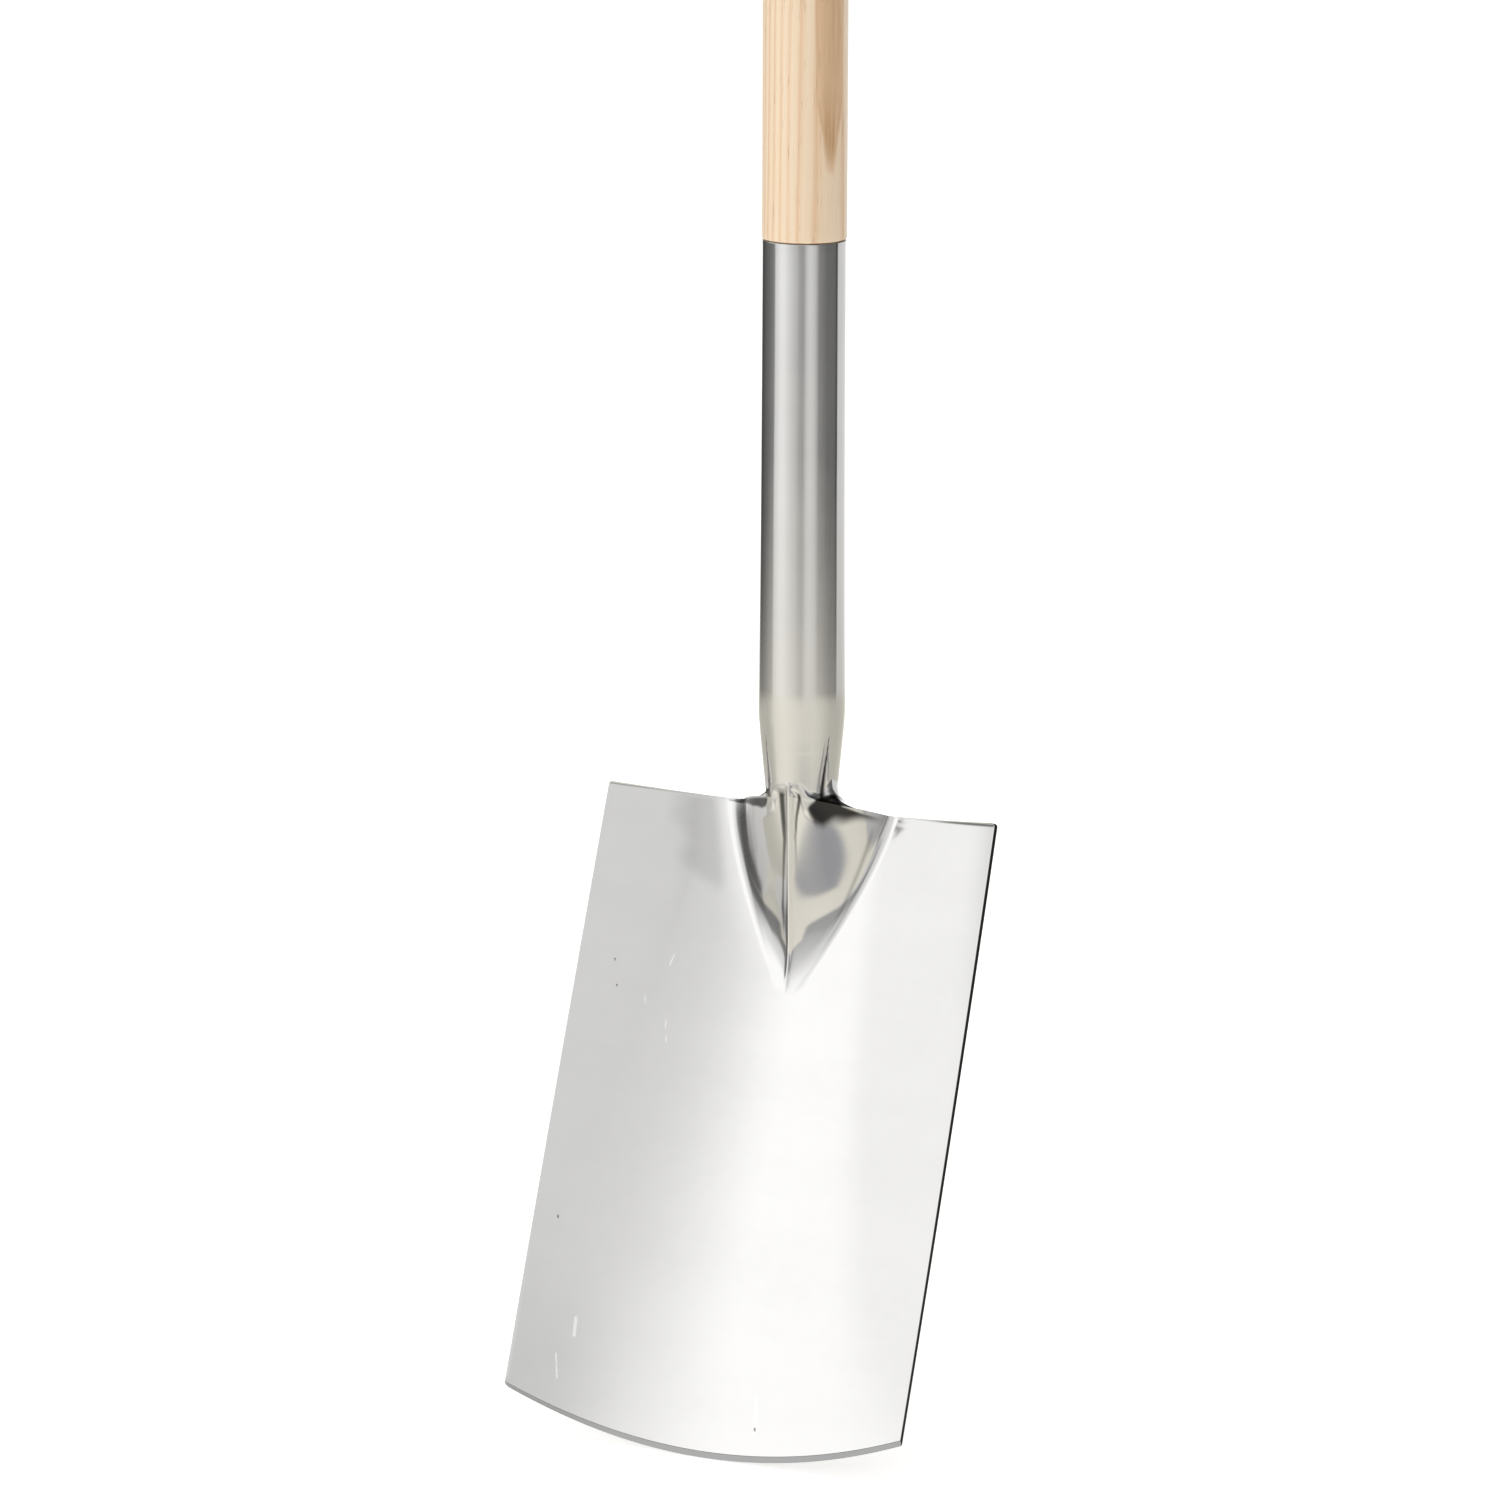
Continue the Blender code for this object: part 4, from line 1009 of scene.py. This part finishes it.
# ------------------------------------------------------------------ studio
floor_mesh = bpy.data.meshes.new("floor")
floor_mesh.from_pydata([(-16, -16, -0.0005), (16, -16, -0.0005), (16, 16, -0.0005), (-16, 16, -0.0005)], [], [(0, 1, 2, 3)])
floor = link("floor", floor_mesh)
pale, g, shader = material("studio_floor")
shader.inputs["Base Color"].default_value = (0.86, 0.85, 0.83, 1)
shader.inputs["Roughness"].default_value = 0.9
shader.inputs["Specular IOR Level"].default_value = 0.1
shader.inputs["Emission Color"].default_value = (1.0, 0.995, 0.985, 1)
shader.inputs["Emission Strength"].default_value = 0.62
floor_mesh.materials.append(pale)
floor.visible_glossy = False

world = bpy.data.worlds.new("studio")
scene.world = world
world.use_nodes = True
g = Graph(world.node_tree)
direction = g.vmath("NORMALIZE", g.node("ShaderNodeTexCoord").outputs["Generated"])
side = g.vmath("DOT_PRODUCT", direction, (0.8862, 0.4633, 0.0))
front = g.vmath("DOT_PRODUCT", direction, (0.4633, -0.8862, 0.0))
sep = g.node("ShaderNodeSeparateXYZ")
g.feed(sep.inputs[0], direction)
rise = sep.outputs[2]
turn = g.math("ARCTAN2", side, front)
turn = g.math("MULTIPLY_ADD", turn, 1 / math.tau, 0.5)


def at(*pairs):
    return [((deg + 180) / 360, c) for deg, c in pairs]


low = g.ramp(turn, at((-180, 1.5), (-157, 1.4), (-153, 0.09), (-139, 0.09), (-127, 0.14), (-103, 0.21), (-88, 0.30), (-84, 0.86), (-79, 0.96), (-66, 1.16), (-54, 1.14), (-43, 0.96),
                      (-31, 0.80), (-17, 0.61), (-14, 0.50), (-2, 0.42), (2, 0.58), (10, 0.84), (19, 0.88), (30, 0.72), (36, 0.52), (41, 0.30), (65, 0.18), (88, 0.18), (96, 0.15), (99, 0.05), (102, 0.06), (105, 0.82), (145, 0.90), (156, 1.4), (180, 1.5)))
high = g.ramp(turn, at((-180, 0.08), (-132, 0.08), (-118, 0.9), (-110, 1.27), (-76, 1.26), (-72, 1.40), (-59, 1.42), (-55, 1.34), (-50, 1.20), (-44, 1.05), (-38, 0.95), (-30, 0.90), (-8, 0.91), (6, 0.85),
                       (22, 0.50), (34, 0.22), (60, 0.12), (180, 0.08)))
ground = g.ramp(turn, at((-180, 0.80), (-150, 0.64), (-104, 0.66), (-93, 0.78), (-80, 1.0), (-67, 1.08), (-50, 1.12), (-31, 1.07), (-15, 1.01), (1, 0.95), (34, 0.94), (49, 0.87), (65, 0.77), (82, 0.67), (115, 0.64), (130, 0.68), (148, 0.72), (165, 0.85), (180, 0.80)))
# How much lower than elsewhere each side of the room starts to give way to the floor.
sink = g.ramp(turn, at((-180, 0.3), (-150, 0.35), (-139, 0.50), (-122, 0.42), (-112, 0.25), (-103, 0.03), (-88, 0.0), (-20, 0.0), (-5, 0.05), (12, 0.0), (36, 0.0), (60, 0.12), (80, 0.32), (98, 0.36), (118, 0.2), (180, 0.3)))
mid = g.range(rise, math.sin(math.radians(4)), math.sin(math.radians(14)))
# A small dark shape high on the left, seen in the blade beside the frog.
spot = Vector((math.sin(math.radians(-28 + 27.6)) * math.cos(math.radians(30.4)), -math.cos(math.radians(-28 + 27.6)) * math.cos(math.radians(30.4)), math.sin(math.radians(30.4))))
shift = g.node("ShaderNodeTexNoise")
g.feed(shift.inputs["Vector"], direction)
shift.inputs["Scale"].default_value = 42.0
shift.inputs["Detail"].default_value = 3.0
wander = g.vmath("ADD", direction, g.vmath("MULTIPLY", g.vmath("SUBTRACT", shift.outputs["Color"], (0.5, 0.5, 0.5)), (0.035, 0.035, 0.035)))
close = g.vmath("DOT_PRODUCT", g.vmath("NORMALIZE", wander), tuple(spot))
sky = g.mix(mid, low, high)
sky = g.mix(g.math("MULTIPLY", g.range(close, math.cos(math.radians(3.1)), math.cos(math.radians(2.1))), 0.26), sky, (0.1, 0.1, 0.11))
top = g.range(rise, math.sin(math.radians(34)), math.sin(math.radians(50)))
sky = g.mix(top, sky, (0.06, 0.06, 0.062))
down = g.range(g.math("MULTIPLY_ADD", sink, math.sin(math.radians(1.6)), rise), math.sin(math.radians(-11.6)), math.sin(math.radians(-9.2)))
ground = g.mix(1.0, ground, (1.0, 0.965, 0.865), "MULTIPLY")
patch = g.math("MULTIPLY", g.range(rise, math.sin(math.radians(-22.6)), math.sin(math.radians(-25.4))), g.range(rise, math.sin(math.radians(-41)), math.sin(math.radians(-36))))
patch = g.math("MULTIPLY", patch, g.ramp(turn, at((-180, 0.3), (-40, 0.3), (-20, 0.45), (-8, 0.8), (4, 1.0), (42, 1.0), (60, 0.4), (180, 0.3))))
ground = g.mix(patch, ground, (0.42, 0.425, 0.45))
sky = g.mix(down, ground, sky)
seen = g.node("ShaderNodeLightPath").outputs["Is Camera Ray"]
sky = g.mix(seen, sky, (1.3, 1.3, 1.3))
lamp = g.node("ShaderNodeBackground")
g.feed(lamp.inputs["Color"], sky)
lamp.inputs["Strength"].default_value = 1.0
out = g.node("ShaderNodeOutputWorld")
g.tree.links.new(lamp.outputs[0], out.inputs[0])


def soft_light(name, position, target, size, power, colour=(1, 1, 1)):
    data = bpy.data.lights.new(name, "AREA")
    data.shape = "DISK"
    data.size = size
    data.energy = power
    data.color = colour
    obj = bpy.data.objects.new(name, data)
    scene.collection.objects.link(obj)
    obj.location = position
    obj.rotation_euler = (Vector(target) - Vector(position)).to_track_quat("-Z", "Y").to_euler()
    obj.visible_glossy = False
    obj.visible_camera = False
    return obj


soft_light("overhead", (0.0, 0.5, 6.0), (0.0, 0.5, 0.0), 7.0, 260.0)

soft_light("key", (-1.2, -3.4, 1.7), (0.0, 0.0, 0.6), 2.2, 16.0, (1.0, 0.98, 0.95))
